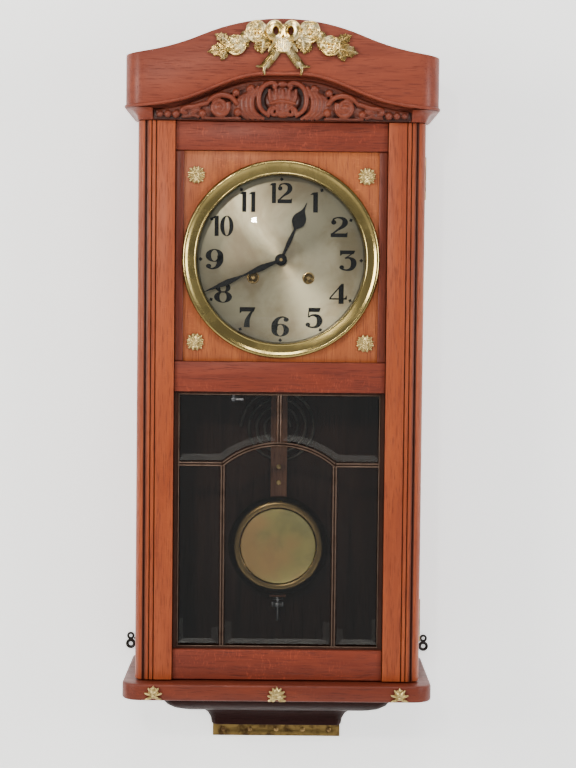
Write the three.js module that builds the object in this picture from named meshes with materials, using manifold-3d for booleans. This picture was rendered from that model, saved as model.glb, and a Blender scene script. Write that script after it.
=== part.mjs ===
// Pendulum wall clock: oak case with a hooded crown, glazed door, striking movement and pendulum.
// Millimetres. The origin is the point on the wall where the clock hangs.
// +X is to the right, -Y comes out of the wall towards the room, +Z is up.
import * as THREE from "three";
import { mergeVertices } from "three/addons/utils/BufferGeometryUtils.js";
import Module from "manifold-3d";

const wasm = await Module();
wasm.setup();

// ---- Driving dimensions ----
const joint = 0.3; // clearance kept between pieces that touch

const caseHalf = 161; // half width over the case sides
const sideThick = 12;
const caseFront = -124; // front edge of the sides
const backThick = 10;

const crownPeak = 61.3;
const hoodHalf = 174.5;
const hoodFront = -166;
const hoodWall = 15.7;
const hoodRadius = 22; // rounded front corners of the hood
const hoodBottom = -37;
const archRadius = 228; // convex top of the hood
const archHalf = 89; // where the convex top meets the hollow shoulders
const flareRadius = 280; // hollow shoulders
const coveBottom = -49.5;
const topBoardLow = 8;
const topBoardThick = 10;

const doorTop = -50.3;
const doorBottom = -678;
const doorRear = -124.8;
const stileFront = -150;
const railFront = -146;
const openingHalf = 118.8; // half width between the stiles
const topRailLow = -82.1;
const middleRailTop = -318.3;
const middleRailLow = -352.1;
const bottomRailTop = -644.2;

const baseTop = -680;
const baseThick = 18.8;
const baseHalf = 174.5;
const baseRadius = 20;

const bracketTopHalf = 133;
const bracketLowHalf = 76;
const bracketTopFront = -131;
const bracketLowFront = -80;
const bracketLow = -745.5;
const stripLow = -777.5;

const dialZ = -203; // height of the dial's centre
const dialRadius = 99;
const dialFace = -118;
const bezelRadius = 111;
const bezelSight = 95;
const glassRadius = 97;
const panelHole = 97.4;

const backPlateRear = -55;
const frontPlateRear = -99;
const plateThick = 2.5;
const windX = 31.4; // winding arbors, each side of the centre
const windDrop = 20.4; // and below it

const pendulumY = -34;
const suspensionZ = -145;
const bobZ = -540;
const bobRadius = 59;
const rodWide = 19.5;
const gongZ = -400;
const gongY = -20;

// ---- Materials ----
const oakOrange = new THREE.MeshStandardMaterial({ color: 0xa8562f, roughness: 0.45 });
const oakRed = new THREE.MeshStandardMaterial({ color: 0x8e4030, roughness: 0.45 });
const oakDark = new THREE.MeshStandardMaterial({ color: 0x3a1d18, roughness: 0.5 });
const brass = new THREE.MeshStandardMaterial({ color: 0xb08a4a, roughness: 0.35, metalness: 1 });
const gilt = new THREE.MeshStandardMaterial({ color: 0xc9b37c, roughness: 0.45, metalness: 1 });
const steel = new THREE.MeshStandardMaterial({ color: 0x8b8d90, roughness: 0.35, metalness: 1 });
const iron = new THREE.MeshStandardMaterial({ color: 0x2b2a2a, roughness: 0.6, metalness: 0.8 });
const silvered = new THREE.MeshStandardMaterial({ color: 0xb9b9b4, roughness: 0.4, metalness: 1 });
const glass = new THREE.MeshStandardMaterial({ color: 0xdfe8e6, roughness: 0.05, transparent: true });
glass.opacity = 0.3;

// ---- Geometry helpers ----

// Welds a geometry by position, drops triangles of no area and turns its faces outwards.
function weld(geometry) {
  const bare = geometry.clone();
  for (const name of Object.keys(bare.attributes)) {
    if (name !== "position") bare.deleteAttribute(name);
  }
  const merged = mergeVertices(bare, 1e-4);
  const index = merged.index.array;
  const kept = [];
  for (let i = 0; i < index.length; i += 3) {
    const [a, b, c] = [index[i], index[i + 1], index[i + 2]];
    if (a !== b && b !== c && c !== a) kept.push(a, b, c);
  }
  merged.setIndex(kept);
  if (signedVolume(merged) < 0) {
    for (let i = 0; i < kept.length; i += 3) [kept[i], kept[i + 1]] = [kept[i + 1], kept[i]];
    merged.setIndex(kept);
  }
  return merged;
}

function signedVolume(geometry) {
  const p = geometry.attributes.position;
  const index = geometry.index.array;
  const [a, b, c] = [new THREE.Vector3(), new THREE.Vector3(), new THREE.Vector3()];
  let sum = 0;
  for (let i = 0; i < index.length; i += 3) {
    a.fromBufferAttribute(p, index[i]);
    b.fromBufferAttribute(p, index[i + 1]);
    c.fromBufferAttribute(p, index[i + 2]);
    sum += a.dot(b.cross(c));
  }
  return sum / 6;
}

function toManifold(geometry) {
  const g = weld(geometry);
  const vertProperties = new Float32Array(g.attributes.position.array);
  const triVerts = new Uint32Array(g.index.array);
  return new wasm.Manifold(new wasm.Mesh({ numProp: 3, vertProperties, triVerts }));
}

function toGeometry(manifold) {
  const mesh = manifold.getMesh();
  const g = new THREE.BufferGeometry();
  g.setAttribute("position", new THREE.BufferAttribute(mesh.vertProperties, 3));
  g.setIndex(new THREE.BufferAttribute(mesh.triVerts, 1));
  return g;
}

function unite(...geometries) {
  let whole = toManifold(geometries[0]);
  for (const g of geometries.slice(1)) whole = whole.add(toManifold(g));
  return toGeometry(whole);
}

function cut(geometry, ...tools) {
  let whole = toManifold(geometry);
  for (const g of tools) whole = whole.subtract(toManifold(g));
  return toGeometry(whole);
}

function common(a, b) {
  return toGeometry(toManifold(a).intersect(toManifold(b)));
}

// A block between two opposite corners.
function block(x0, x1, y0, y1, z0, z1) {
  const g = new THREE.BoxGeometry(Math.abs(x1 - x0), Math.abs(y1 - y0), Math.abs(z1 - z0));
  return g.translate((x0 + x1) / 2, (y0 + y1) / 2, (z0 + z1) / 2);
}

// A front-view outline (x, z) given thickness from the plane yBack to the plane yFront.
function slabY(shape, yBack, yFront, curveSegments = 12) {
  const g = new THREE.ExtrudeGeometry(shape, { depth: yBack - yFront, bevelEnabled: false, curveSegments });
  return g.rotateX(Math.PI / 2).translate(0, yBack, 0);
}

// A plan outline (x, y) given height from zLow to zHigh.
function slabZ(shape, zLow, zHigh, curveSegments = 12) {
  const g = new THREE.ExtrudeGeometry(shape, { depth: zHigh - zLow, bevelEnabled: false, curveSegments });
  return g.translate(0, 0, zLow);
}

function outline(points) {
  return new THREE.Shape(points.map(([x, y]) => new THREE.Vector2(x, y)));
}

function rectangle(x0, x1, y0, y1) {
  return outline([[x0, y0], [x1, y0], [x1, y1], [x0, y1]]);
}

function addHole(shape, x, y, radius) {
  shape.holes.push(new THREE.Path().absarc(x, y, radius, 0, Math.PI * 2, true));
  return shape;
}

// A profile of (radius, y) points turned about the Y axis.
function turnedY(profile, segments) {
  return new THREE.LatheGeometry(profile.map(([r, y]) => new THREE.Vector2(r, y)), segments);
}

// A plain round bar along Y.
function barY(radius, yBack, yFront, segments = 10) {
  return turnedY([[0, yFront], [radius, yFront], [radius, yBack], [0, yBack]], segments);
}

// A round bar along Z.
function barZ(radius, zLow, zHigh, segments = 10) {
  const g = new THREE.CylinderGeometry(radius, radius, zHigh - zLow, segments);
  return g.rotateX(Math.PI / 2).translate(0, 0, (zLow + zHigh) / 2);
}

// Joins equal rings of points into one closed body, capped at both ends.
function loft(rings) {
  const count = rings[0].length;
  const positions = rings.flat().flatMap((p) => [p.x, p.y, p.z]);
  const index = [];
  for (let k = 0; k + 1 < rings.length; k += 1) {
    for (let i = 0; i < count; i += 1) {
      const j = (i + 1) % count;
      const [a, b] = [k * count + i, k * count + j];
      index.push(a, b, b + count, a, b + count, a + count);
    }
  }
  const [first] = rings;
  const level = first.every((p) => Math.abs(p.z - first[0].z) < 1e-9);
  const flat = first.map((p) => new THREE.Vector2(p.x, level ? p.y : p.z));
  const lastStart = (rings.length - 1) * count;
  const cap = THREE.ShapeUtils.triangulateShape(flat, []);
  const turned = THREE.ShapeUtils.isClockWise(flat);
  for (const [a, b, c] of cap) {
    if (turned) index.push(a, b, c);
    else index.push(a, c, b);
    if (turned) index.push(lastStart + a, lastStart + c, lastStart + b);
    else index.push(lastStart + a, lastStart + b, lastStart + c);
  }
  const g = new THREE.BufferGeometry();
  g.setAttribute("position", new THREE.Float32BufferAttribute(positions, 3));
  g.setIndex(index);
  return g;
}

// Plan of a box against the wall with two rounded front corners.
function roundedPlan(half, front, radius, steps = 6) {
  const points = [[half, 0]];
  for (let k = 0; k <= steps; k += 1) {
    const a = (k / steps) * (Math.PI / 2);
    points.push([half - radius + radius * Math.cos(a), front + radius - radius * Math.sin(a)]);
  }
  for (let k = 0; k <= steps; k += 1) {
    const a = (k / steps) * (Math.PI / 2);
    points.push([-half + radius - radius * Math.sin(a), front + radius - radius * Math.cos(a)]);
  }
  points.push([-half, 0]);
  return points;
}

function ring(points, z) {
  return points.map(([x, y]) => new THREE.Vector3(x, y, z));
}

const smooth = (t) => 0.5 - 0.5 * Math.cos(Math.PI * Math.min(Math.max(t, 0), 1));

// ---- The assembly ----
const clock = new THREE.Group();
clock.name = "pendulum_wall_clock";

function place(parent, name, geometry, material, x = 0, y = 0, z = 0) {
  const mesh = new THREE.Mesh(weld(geometry), material);
  mesh.name = name;
  mesh.position.set(x, y, z);
  parent.add(mesh);
  return mesh;
}

// ---- Case ----

// The back board carries the hanger: a rebate for its plate and a pocket for the wall screw's head.
const hangerHalfX = 30;
const hangerHalfZ = 17;
const hangerZ = -10; // centre of the hanger plate
const hangerThick = 2.4;
const pocketDeep = 8.4;

function makeBackBoard() {
  const inside = caseHalf - sideThick - joint;
  const board = block(-inside, inside, -backThick, 0, baseTop + joint, topBoardLow - joint);
  const rebate = block(
    -hangerHalfX - joint, hangerHalfX + joint, -hangerThick - joint, 1,
    hangerZ - hangerHalfZ - joint, topBoardLow,
  );
  const pocket = block(-10, 10, -pocketDeep, 1, -24, topBoardLow);
  return cut(board, rebate, pocket);
}

// Brass plate with a keyhole: the screw head enters below and the shank rises into the slot.
function makeHangerPlate() {
  const slotRadius = 3.5;
  const eyeRadius = 7;
  const eyeZ = -14;
  const plate = rectangle(-hangerHalfX, hangerHalfX, hangerZ - hangerHalfZ, hangerZ + hangerHalfZ);
  const keyhole = new THREE.Path();
  const meet = Math.asin(slotRadius / eyeRadius);
  keyhole.absarc(0, 0, slotRadius, 0, Math.PI, false);
  keyhole.absarc(0, eyeZ, eyeRadius, Math.PI / 2 + meet, Math.PI * 2.5 - meet, false);
  plate.holes.push(keyhole);
  return slabY(plate, 0, -hangerThick, 8);
}

const sideTop = coveBottom - joint;
const hingeZ = [-110, -612]; // heights of the two hinges
const hingeHalf = 24;
const leafWide = 10.5;
const leafThick = 1.2;
const mortise = leafThick + joint;
const hingeX = caseHalf + 0.3;
const hingeY = (caseFront + doorRear) / 2;

// Shallow recess for one hinge leaf.
function hingeSeat(y0, y1, z) {
  const half = hingeHalf + joint;
  return block(caseHalf - leafWide - joint, caseHalf + 3, y0, y1, z - half, z + half);
}

function makeSide(sign) {
  const inner = sign * (caseHalf - sideThick);
  let board = block(inner, sign * caseHalf, caseFront, 0, baseTop + joint, sideTop);
  if (sign > 0) {
    for (const z of hingeZ) {
      board = cut(board, hingeSeat(caseFront - 1, caseFront + mortise, z));
    }
  }
  return board;
}

place(clock, "back_board", makeBackBoard(), oakDark);
place(clock, "hanger_plate", makeHangerPlate(), brass);
place(clock, "side_left", makeSide(-1), oakRed);
place(clock, "side_right", makeSide(1), oakRed);

// ---- Crown ----
const archCentreZ = crownPeak - archRadius;
const archEndZ = archCentreZ + Math.sqrt(archRadius ** 2 - archHalf ** 2);
const flareCentreX = archHalf * (1 + flareRadius / archRadius);
const flareCentreZ = archEndZ + (archEndZ - archCentreZ) * (flareRadius / archRadius);

// Height of the hood's top edge at a distance from the centre line.
function hoodTop(x) {
  const a = Math.abs(x);
  if (a <= archHalf) return archCentreZ + Math.sqrt(archRadius ** 2 - a ** 2);
  return flareCentreZ - Math.sqrt(flareRadius ** 2 - (a - flareCentreX) ** 2);
}

// Height of the hood's waved lower edge.
function hoodLow(x) {
  const a = Math.abs(x);
  return -1 - 32 * smooth((a - 20) / 118) - 4 * smooth((a - 120) / 45);
}

function sampled(height, from, to, steps) {
  const points = [];
  for (let k = 0; k <= steps; k += 1) {
    const x = from + ((to - from) * k) / steps;
    points.push([x, height(x)]);
  }
  return points;
}

function makeHood() {
  const outer = roundedPlan(hoodHalf, hoodFront, hoodRadius);
  const inner = roundedPlan(hoodHalf - hoodWall, hoodFront + hoodWall, hoodRadius - hoodWall + 2, 3);
  const plan = outline([...outer, ...inner.reverse()]);
  const wide = hoodHalf + 1;
  const elevation = outline([
    ...sampled(hoodLow, -wide, wide, 36),
    ...sampled(hoodTop, wide, -wide, 36),
  ]);
  return common(slabZ(plan, hoodBottom, crownPeak + 1), slabY(elevation, 1, hoodFront - 1));
}

const friezeFront = -150;
const friezeRear = -138;
const apronHalf = 143;

// Hollow moulding that carries the hood out from the case, open at the back.
function makeCove() {
  const reach = 13;
  const high = hoodBottom - joint - coveBottom;
  const rings = [];
  const steps = 5;
  for (let k = 0; k <= steps; k += 1) {
    const a = (k / steps) * (Math.PI / 2);
    const out = reach * (1 - Math.cos(a));
    const plan = roundedPlan(caseHalf + 0.4 + out, hoodFront + reach - out, hoodRadius - reach + out);
    rings.push(ring(plan, coveBottom + high * Math.sin(a)));
  }
  const room = caseHalf - sideThick;
  const inside = block(-room, room, friezeRear, 1, coveBottom - 1, hoodBottom + 1);
  const gap = apronHalf + 1;
  const apronRoom = block(-gap, gap, friezeFront, hoodFront - 2, coveBottom - 1, hoodBottom + 1);
  return cut(loft(rings), inside, apronRoom);
}


// Board behind the hood that the carving is planted on.
function makeFrieze() {
  const half = caseHalf - sideThick - joint;
  return block(-half, half, friezeRear + joint, friezeFront, hoodBottom + joint, topBoardLow - joint);
}

// The carving's block: it fills the space under the waved edge.
function makeApron() {
  const top = sampled((x) => hoodLow(x) - 3.5, apronHalf, -apronHalf, 24);
  const shape = outline([[-apronHalf, coveBottom], [apronHalf, coveBottom], ...top]);
  return slabY(shape, friezeFront - joint, hoodFront + 2);
}

function makeTopBoard() {
  const half = hoodHalf - hoodWall - joint;
  const front = hoodFront + hoodWall + joint;
  const plan = outline(roundedPlan(half, front, 8, 3));
  return slabZ(plan, topBoardLow, topBoardLow + topBoardThick);
}

// Cast ornament on the hood: a bow between roses with leaf ends and two ribbon tails.
function makeCrest() {
  const rear = hoodFront - joint;
  const lobes = [
    { x: 0, z: 30, r: 13, proud: 7 },
    { x: 9, z: 46, r: 14, proud: 7 },
    { x: 29, z: 49, r: 13, proud: 8 },
    { x: 41, z: 36, r: 11, proud: 6 },
    { x: 53, z: 31, r: 12, proud: 7 },
    { x: 68, z: 31, r: 9, proud: 5 },
    { x: 76, z: 27, r: 7, proud: 4 },
  ];
  const pieces = [];
  for (const sign of [-1, 1]) {
    for (const lobe of lobes) {
      if (lobe.x === 0 && sign > 0) continue;
      const disc = barY(lobe.r, rear, rear - lobe.proud, 12);
      pieces.push(disc.translate(sign * lobe.x, 0, lobe.z));
    }
    const tail = outline([[0, 27], [sign * 8, 33], [sign * 27, 9], [sign * 17, 3]]);
    pieces.push(slabY(tail, rear, rear - 4));
  }
  return unite(...pieces);
}

place(clock, "crown_hood", makeHood(), oakRed);
place(clock, "crown_cove", makeCove(), oakRed);
place(clock, "crown_frieze", makeFrieze(), oakRed);
place(clock, "carved_apron", makeApron(), oakRed);
place(clock, "crown_top_board", makeTopBoard(), oakDark);
place(clock, "crest_ornament", makeCrest(), gilt);

// ---- Base ----
function makeBase() {
  const plan = outline(roundedPlan(baseHalf, hoodFront, baseRadius, 8));
  return slabZ(plan, baseTop - baseThick, baseTop);
}

// Ogee console under the base: a quarter round at the top, a hollow below it.
const bracketRoundShare = 0.6;

function makeBracket() {
  const rings = [];
  const steps = 5;
  const high = baseTop - baseThick - joint;
  const addRing = (down, inward) => {
    const half = bracketTopHalf + (bracketLowHalf - bracketTopHalf) * inward;
    const front = bracketTopFront + (bracketLowFront - bracketTopFront) * inward;
    rings.push(ring(roundedPlan(half, front, 10, 3), high + (bracketLow - high) * down));
  };
  for (let k = 0; k <= steps; k += 1) {
    const angle = (k / steps) * Math.PI * 0.5;
    addRing(0.5 * Math.sin(angle), bracketRoundShare * (1 - Math.cos(angle)));
  }
  for (let k = 1; k <= steps; k += 1) {
    const angle = (k / steps) * Math.PI * 0.5;
    addRing(1 - 0.5 * Math.cos(angle), bracketRoundShare + (1 - bracketRoundShare) * Math.sin(angle));
  }
  return loft(rings.reverse());
}

// Brass strip below the console, held to the wall by five screws.
const stripRear = 0;
const stripThick = 2;
const stripScrews = [-64, -32, 0, 32, 64];

function makeStrip() {
  const shape = rectangle(-bracketLowHalf - 1, bracketLowHalf + 1, stripLow, bracketLow - joint);
  for (const x of stripScrews) addHole(shape, x, stripLow + 8, 1.8);
  return slabY(shape, stripRear, stripRear - stripThick, 6);
}

// Small cast shell on the edge of the base.
function makeShell(wide, high, lobeCount) {
  const points = [];
  const steps = 28;
  for (let k = 0; k < steps; k += 1) {
    const a = (k / steps) * Math.PI * 2;
    const swell = 1 + 0.07 * Math.cos(lobeCount * a);
    points.push([(wide / 2) * swell * Math.cos(a), (high / 2) * swell * Math.sin(a)]);
  }
  return slabY(outline(points), 0, -3);
}

place(clock, "base_board", makeBase(), oakRed);
place(clock, "lower_bracket", makeBracket(), oakDark);
place(clock, "wall_strip", makeStrip(), brass);

const shellZ = baseTop - baseThick / 2;
const shellX = 138;
place(clock, "base_shell_left", makeShell(15, 16, 8), gilt, -shellX, hoodFront - joint, shellZ);
place(clock, "base_shell_centre", makeShell(18, 17, 9), gilt, 0, hoodFront - joint, shellZ);
place(clock, "base_shell_right", makeShell(15, 16, 8), gilt, shellX, hoodFront - joint, shellZ);

// Iron ear beside the case: a wall screw through its eye steadies the clock.
const steadyEyeX = 16;
const steadyThick = 2.5;

function makeSteadyIron(sign) {
  const eyeX = sign * steadyEyeX;
  const eye = addHole(new THREE.Shape().absarc(eyeX, 0, 6, 0, Math.PI * 2), eyeX, 0, 3.2);
  const curl = new THREE.Shape().absarc(eyeX, 9.6, 4.1, 0, Math.PI * 2);
  const arm = eyeX - sign * 4.8;
  const web = rectangle(Math.min(0, arm), Math.max(0, arm), -3, 3);
  const foot = block(0, sign * 2, -18, 0, -8, 12);
  const flats = [eye, curl, web].map((shape) => slabY(shape, 0, -steadyThick, 6));
  return unite(...flats, foot);
}

const steadyZ = -666;
for (const [name, sign] of [["steady_iron_left", -1], ["steady_iron_right", 1]]) {
  place(clock, name, makeSteadyIron(sign), iron, sign * (caseHalf + joint), 0, steadyZ);
}

// ---- Hinges ----
const knuckleRadius = 1.9;
const pinRadius = 0.9;
const pinRoom = 1.25;
const knuckleHalf = 8;

function pinAxis(g) {
  return g.translate(hingeX, hingeY, 0);
}

// Fixed leaf: its two outer knuckles hold the pin.
function makeFixedLeaf() {
  const rear = caseFront + leafThick;
  const leaf = block(caseHalf - leafWide, hingeX, caseFront - 0.1, rear, -hingeHalf, hingeHalf);
  const clearance = block(hingeX - 2.6, hingeX + 3, -130, -120, -knuckleHalf - joint, knuckleHalf + joint);
  const upper = pinAxis(barZ(knuckleRadius, knuckleHalf + joint, hingeHalf));
  const lower = pinAxis(barZ(knuckleRadius, -hingeHalf, -knuckleHalf - joint));
  const pin = pinAxis(barZ(pinRadius, -hingeHalf + 1, hingeHalf - 1));
  return unite(cut(leaf, clearance), upper, lower, pin);
}

// Moving leaf: its middle knuckle turns on the pin.
function makeMovingLeaf() {
  const front = doorRear - leafThick;
  const leaf = block(caseHalf - leafWide, hingeX, front, doorRear + 0.1, -hingeHalf, hingeHalf);
  const aboveRoom = block(hingeX - 2.6, hingeX + 3, -130, -120, knuckleHalf, hingeHalf + 1);
  const belowRoom = block(hingeX - 2.6, hingeX + 3, -130, -120, -hingeHalf - 1, -knuckleHalf);
  const knuckle = pinAxis(barZ(knuckleRadius, -knuckleHalf, knuckleHalf));
  const bore = pinAxis(barZ(pinRoom, -knuckleHalf - 1, knuckleHalf + 1));
  return cut(unite(cut(leaf, aboveRoom, belowRoom), knuckle), bore);
}

// ---- Door ----
const door = new THREE.Group();
clock.add(door);

place(clock, "hinge_upper_fixed", makeFixedLeaf(), brass, 0, 0, hingeZ[0]);
place(clock, "hinge_lower_fixed", makeFixedLeaf(), brass, 0, 0, hingeZ[1]);
place(door, "hinge_upper_moving", makeMovingLeaf(), brass, 0, 0, hingeZ[0]);
place(door, "hinge_lower_moving", makeMovingLeaf(), brass, 0, 0, hingeZ[1]);

// Brass spring clip inside the case that holds the door shut.
function makeCatch() {
  const inner = -caseHalf + sideThick + joint;
  const leaf = block(inner, inner + 1.2, -118, -96, -9, 9);
  const lip = block(inner, inner + 5, -123.5, -116.5, -5, 5);
  return unite(leaf, lip);
}

place(clock, "door_catch", makeCatch(), brass, 0, 0, -360);

// Stile section: a flat face, three grooves that leave reeds, and a rounded outer corner.
const grooves = [21.1, 26.1, 32.3]; // distances from the inner edge
const cornerRadius = 12;

function stileSection() {
  const wide = caseHalf - openingHalf;
  const points = [[0, doorRear], [0, stileFront]];
  for (const g of grooves) {
    const lip = g < wide - cornerRadius ? 0 : 1.2;
    points.push([g - 0.9, stileFront + lip], [g, stileFront + 2.2 + lip], [g + 0.9, stileFront + lip]);
  }
  const steps = 5;
  for (let k = 2; k <= steps; k += 1) {
    const a = (k / steps) * (Math.PI / 2);
    const x = wide - cornerRadius + cornerRadius * Math.sin(a);
    points.push([x, stileFront + cornerRadius - cornerRadius * Math.cos(a)]);
  }
  points.push([wide, doorRear]);
  return points;
}

function makeStile(sign) {
  const section = stileSection().map(([x, y]) => [sign * (openingHalf + x), y]);
  let stile = slabZ(outline(section), doorBottom, doorTop);
  if (sign > 0) {
    for (const z of hingeZ) {
      stile = cut(stile, hingeSeat(doorRear - mortise, doorRear + 1, z));
    }
  }
  return stile;
}

function makeRail(zLow, zHigh) {
  const half = openingHalf - joint;
  return block(-half, half, railFront, doorRear, zLow, zHigh);
}

place(door, "stile_left", makeStile(-1), oakOrange);
place(door, "stile_right", makeStile(1), oakOrange);
place(door, "rail_top", makeRail(topRailLow, doorTop), oakRed);
place(door, "rail_middle", makeRail(middleRailLow, middleRailTop), oakRed);
place(door, "rail_bottom", makeRail(doorBottom, bottomRailTop), oakRed);

const panelFront = -141;
const panelRear = -133;

function makeDialPanel() {
  const half = openingHalf - joint;
  const shape = rectangle(-half, half, middleRailTop + joint, topRailLow - joint);
  addHole(shape, 0, dialZ, panelHole);
  return slabY(shape, panelRear, panelFront, 36);
}

// Spun bezel: a rolled outer edge and a hollow fall to the glass.
function makeBezel() {
  const rear = panelFront - joint;
  const profile = [
    [bezelSight, rear],
    [bezelRadius, rear],
    [bezelRadius, rear - 4],
    [bezelRadius - 1.5, rear - 6.8],
    [bezelRadius - 4, rear - 7.5],
    [bezelRadius - 7, rear - 6],
    [bezelSight + 2, rear - 4],
    [bezelSight, rear - 2.6],
    [bezelSight, rear],
  ];
  return turnedY(profile, 60);
}

// Domed dial glass: a shell of even thickness with a flat edge behind the bezel.
function makeDialGlass() {
  const thick = 2;
  const rise = 9;
  const edge = panelFront;
  const radius = (dialRadius ** 2 + rise ** 2) / (2 * rise);
  const dome = (r) => Math.sqrt(radius ** 2 - r ** 2) - (radius - rise);
  const steps = 3;
  const outer = [];
  for (let k = 0; k <= steps; k += 1) {
    const r = (k / steps) * (bezelSight - joint);
    outer.push([r, edge - 1 - dome(r)]);
  }
  const flange = [[bezelSight - joint, edge + 0.2], [glassRadius, edge + 0.2], [glassRadius, edge + thick]];
  const inner = outer.map(([r, y]) => [r * 0.985, y + thick + 0.6]).reverse();
  return turnedY([...outer, ...flange, ...inner], 40);
}

place(door, "dial_panel", makeDialPanel(), oakOrange);
place(door, "bezel", makeBezel(), brass, 0, 0, dialZ);
place(door, "dial_glass", makeDialGlass(), glass, 0, 0, dialZ);

// ---- Glazing: brass cames and five bevelled panes ----
const cameHalf = 2.3;
const cameRear = -133;
const cameFront = -140;
const paneRear = -134.7;
const paneThick = 4;
const bevelWide = 10;
const bevelDeep = 2.2;
const paneFlange = 0.8; // how far the came's lip covers a pane
const sideBarX = 63.3;
const shoulderBarZ = -434.2;
const archRise = 23;
const glazeTop = middleRailLow - joint;
const glazeLow = bottomRailTop + joint;
const glazeHalf = openingHalf - joint;

// Outline of the centre pane's arched top, moved in by a distance.
function archedOutline(inset, steps = 10) {
  const radius = (sideBarX ** 2 + archRise ** 2) / (2 * archRise);
  const centreZ = shoulderBarZ + archRise - radius;
  const half = sideBarX - inset;
  const r = radius - inset;
  const sweep = Math.asin(half / r);
  const points = [[-half, glazeLow + inset], [half, glazeLow + inset]];
  for (let k = 0; k <= steps; k += 1) {
    const a = sweep - (2 * sweep * k) / steps;
    points.push([r * Math.sin(a), centreZ + r * Math.cos(a)]);
  }
  return points;
}

// Upper pane: square at the top, cut by the arch below.
function upperOutline(sign, inset, steps = 8) {
  const radius = (sideBarX ** 2 + archRise ** 2) / (2 * archRise);
  const centreZ = shoulderBarZ + archRise - radius;
  const r = radius + inset;
  const low = shoulderBarZ + inset;
  const reach = Math.sqrt(r ** 2 - (low - centreZ) ** 2);
  const outer = glazeHalf - inset;
  const points = [[inset, glazeTop - inset], [outer, glazeTop - inset], [outer, low]];
  const from = Math.asin(reach / r);
  const to = Math.asin(inset / r);
  for (let k = 0; k <= steps; k += 1) {
    const a = from + ((to - from) * k) / steps;
    points.push([r * Math.sin(a), centreZ + r * Math.cos(a)]);
  }
  return points.map(([x, z]) => [sign * x, z]);
}

function sideOutline(sign, inset) {
  const [x0, x1] = [sideBarX + inset, glazeHalf - inset];
  const [z0, z1] = [glazeLow + inset, shoulderBarZ - inset];
  return [[x0, z0], [x1, z0], [x1, z1], [x0, z1]].map(([x, z]) => [sign * x, z]);
}

const panes = {
  pane_upper_left: (inset) => upperOutline(-1, inset),
  pane_upper_right: (inset) => upperOutline(1, inset),
  pane_left: (inset) => sideOutline(-1, inset),
  pane_centre: (inset) => archedOutline(inset),
  pane_right: (inset) => sideOutline(1, inset),
};
const edgeInset = cameHalf - paneFlange;

function makePane(shapeAt) {
  const at = (inset, y) => shapeAt(inset).map(([x, z]) => new THREE.Vector3(x, y, z));
  const front = paneRear - paneThick;
  return loft([
    at(edgeInset, paneRear),
    at(edgeInset, front + bevelDeep),
    at(edgeInset + bevelWide, front),
  ]);
}

function makeCames() {
  const frame = rectangle(-glazeHalf, glazeHalf, glazeLow, glazeTop);
  let lattice = slabY(frame, cameRear, cameFront);
  const slots = [];
  for (const shapeAt of Object.values(panes)) {
    const grip = outline(shapeAt(edgeInset - joint));
    slots.push(slabY(grip, paneRear + joint, paneRear - paneThick + bevelDeep - joint));
    slots.push(slabY(outline(shapeAt(cameHalf)), cameRear + 1, cameFront - 1));
  }
  lattice = cut(lattice, ...slots);
  return lattice;
}

place(door, "glazing_came", makeCames(), brass);
for (const [name, shapeAt] of Object.entries(panes)) place(door, name, makePane(shapeAt), glass);

// ---- Movement ----
// Arbors are placed from the dial's centre; y levels run from the back plate forward.
const movement = new THREE.Group();
movement.position.z = dialZ;
clock.add(movement);

const greatTeeth = 60;
const pinionTeeth = 6;
const greatModule = (2 * Math.hypot(windX, windDrop)) / (greatTeeth + pinionTeeth);
const centreTeeth = 48;
const centreModule = 0.8;
const thirdTeeth = 48;
const thirdModule = 0.583;
const escapeTeeth = 45;
const escapeRadius = 13;
const cannonTeeth = 8;
const minuteTeeth = 24;
const motionModule = 0.9375;
const minutePinion = 8;
const hourTeeth = 32;
const hourModule = 0.75;

const thirdZ = ((centreTeeth + pinionTeeth) * centreModule) / 2;
const escapeZ = thirdZ + ((thirdTeeth + pinionTeeth) * thirdModule) / 2;
const anchorZ = suspensionZ - dialZ;
const minuteZ = (-(cannonTeeth + minuteTeeth) * motionModule) / 2;
const pinWheelZ = -windDrop + ((greatTeeth + pinionTeeth) * greatModule) / 2;
const hammerX = -54;
const hammerZ = 17;
const arborRadius = 1.3;
const pivotRadius = 0.8;
const pivotRoom = 1.15;

// Gear outline with one tooth centred at the angle `toothAt`, with running backlash.
function gearShape(teeth, module, toothAt) {
  const pitch = (teeth * module) / 2;
  const root = pitch - 1.15 * module;
  const tip = pitch + 0.85 * module;
  const step = (Math.PI * 2) / teeth;
  const wheelTooth = [[root, -0.3], [tip, 0], [root, 0.3]];
  const pinionLeaf = [[root, -0.24], [tip, -0.12], [tip, 0.12], [root, 0.24]];
  const points = [];
  for (let k = 0; k < teeth; k += 1) {
    const a = toothAt + k * step;
    for (const [r, half] of teeth > 20 ? wheelTooth : pinionLeaf) {
      points.push([r * Math.cos(a + half * step), r * Math.sin(a + half * step)]);
    }
  }
  return outline(points);
}

const gapAt = (teeth, angle) => angle + Math.PI / teeth;

// A wheel on its arbor: pivots run in the plates, toothed discs are [teeth, module, toothAt, yBack, yFront].
function makeArbor(yBack, yFront, discs, extras = []) {
  const tail = backPlateRear + 0.4;
  const nose = frontPlateRear - plateThick - 0.4;
  const profile = [
    [0, nose], [pivotRadius, nose], [pivotRadius, yFront],
    [arborRadius, yFront], [arborRadius, yBack],
    [pivotRadius, yBack], [pivotRadius, tail], [0, tail],
  ];
  const gears = discs.map(([teeth, module, toothAt, y0, y1]) => {
    return slabY(gearShape(teeth, module, toothAt), y0, y1);
  });
  return unite(turnedY(profile, 10), ...gears, ...extras);
}

const up = Math.PI / 2;
const down = -Math.PI / 2;
const timeMesh = Math.atan2(windDrop, -windX); // from the time barrel to the centre arbor
const bearBack = backPlateRear - plateThick - joint;
const bearFront = frontPlateRear + joint;

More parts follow.
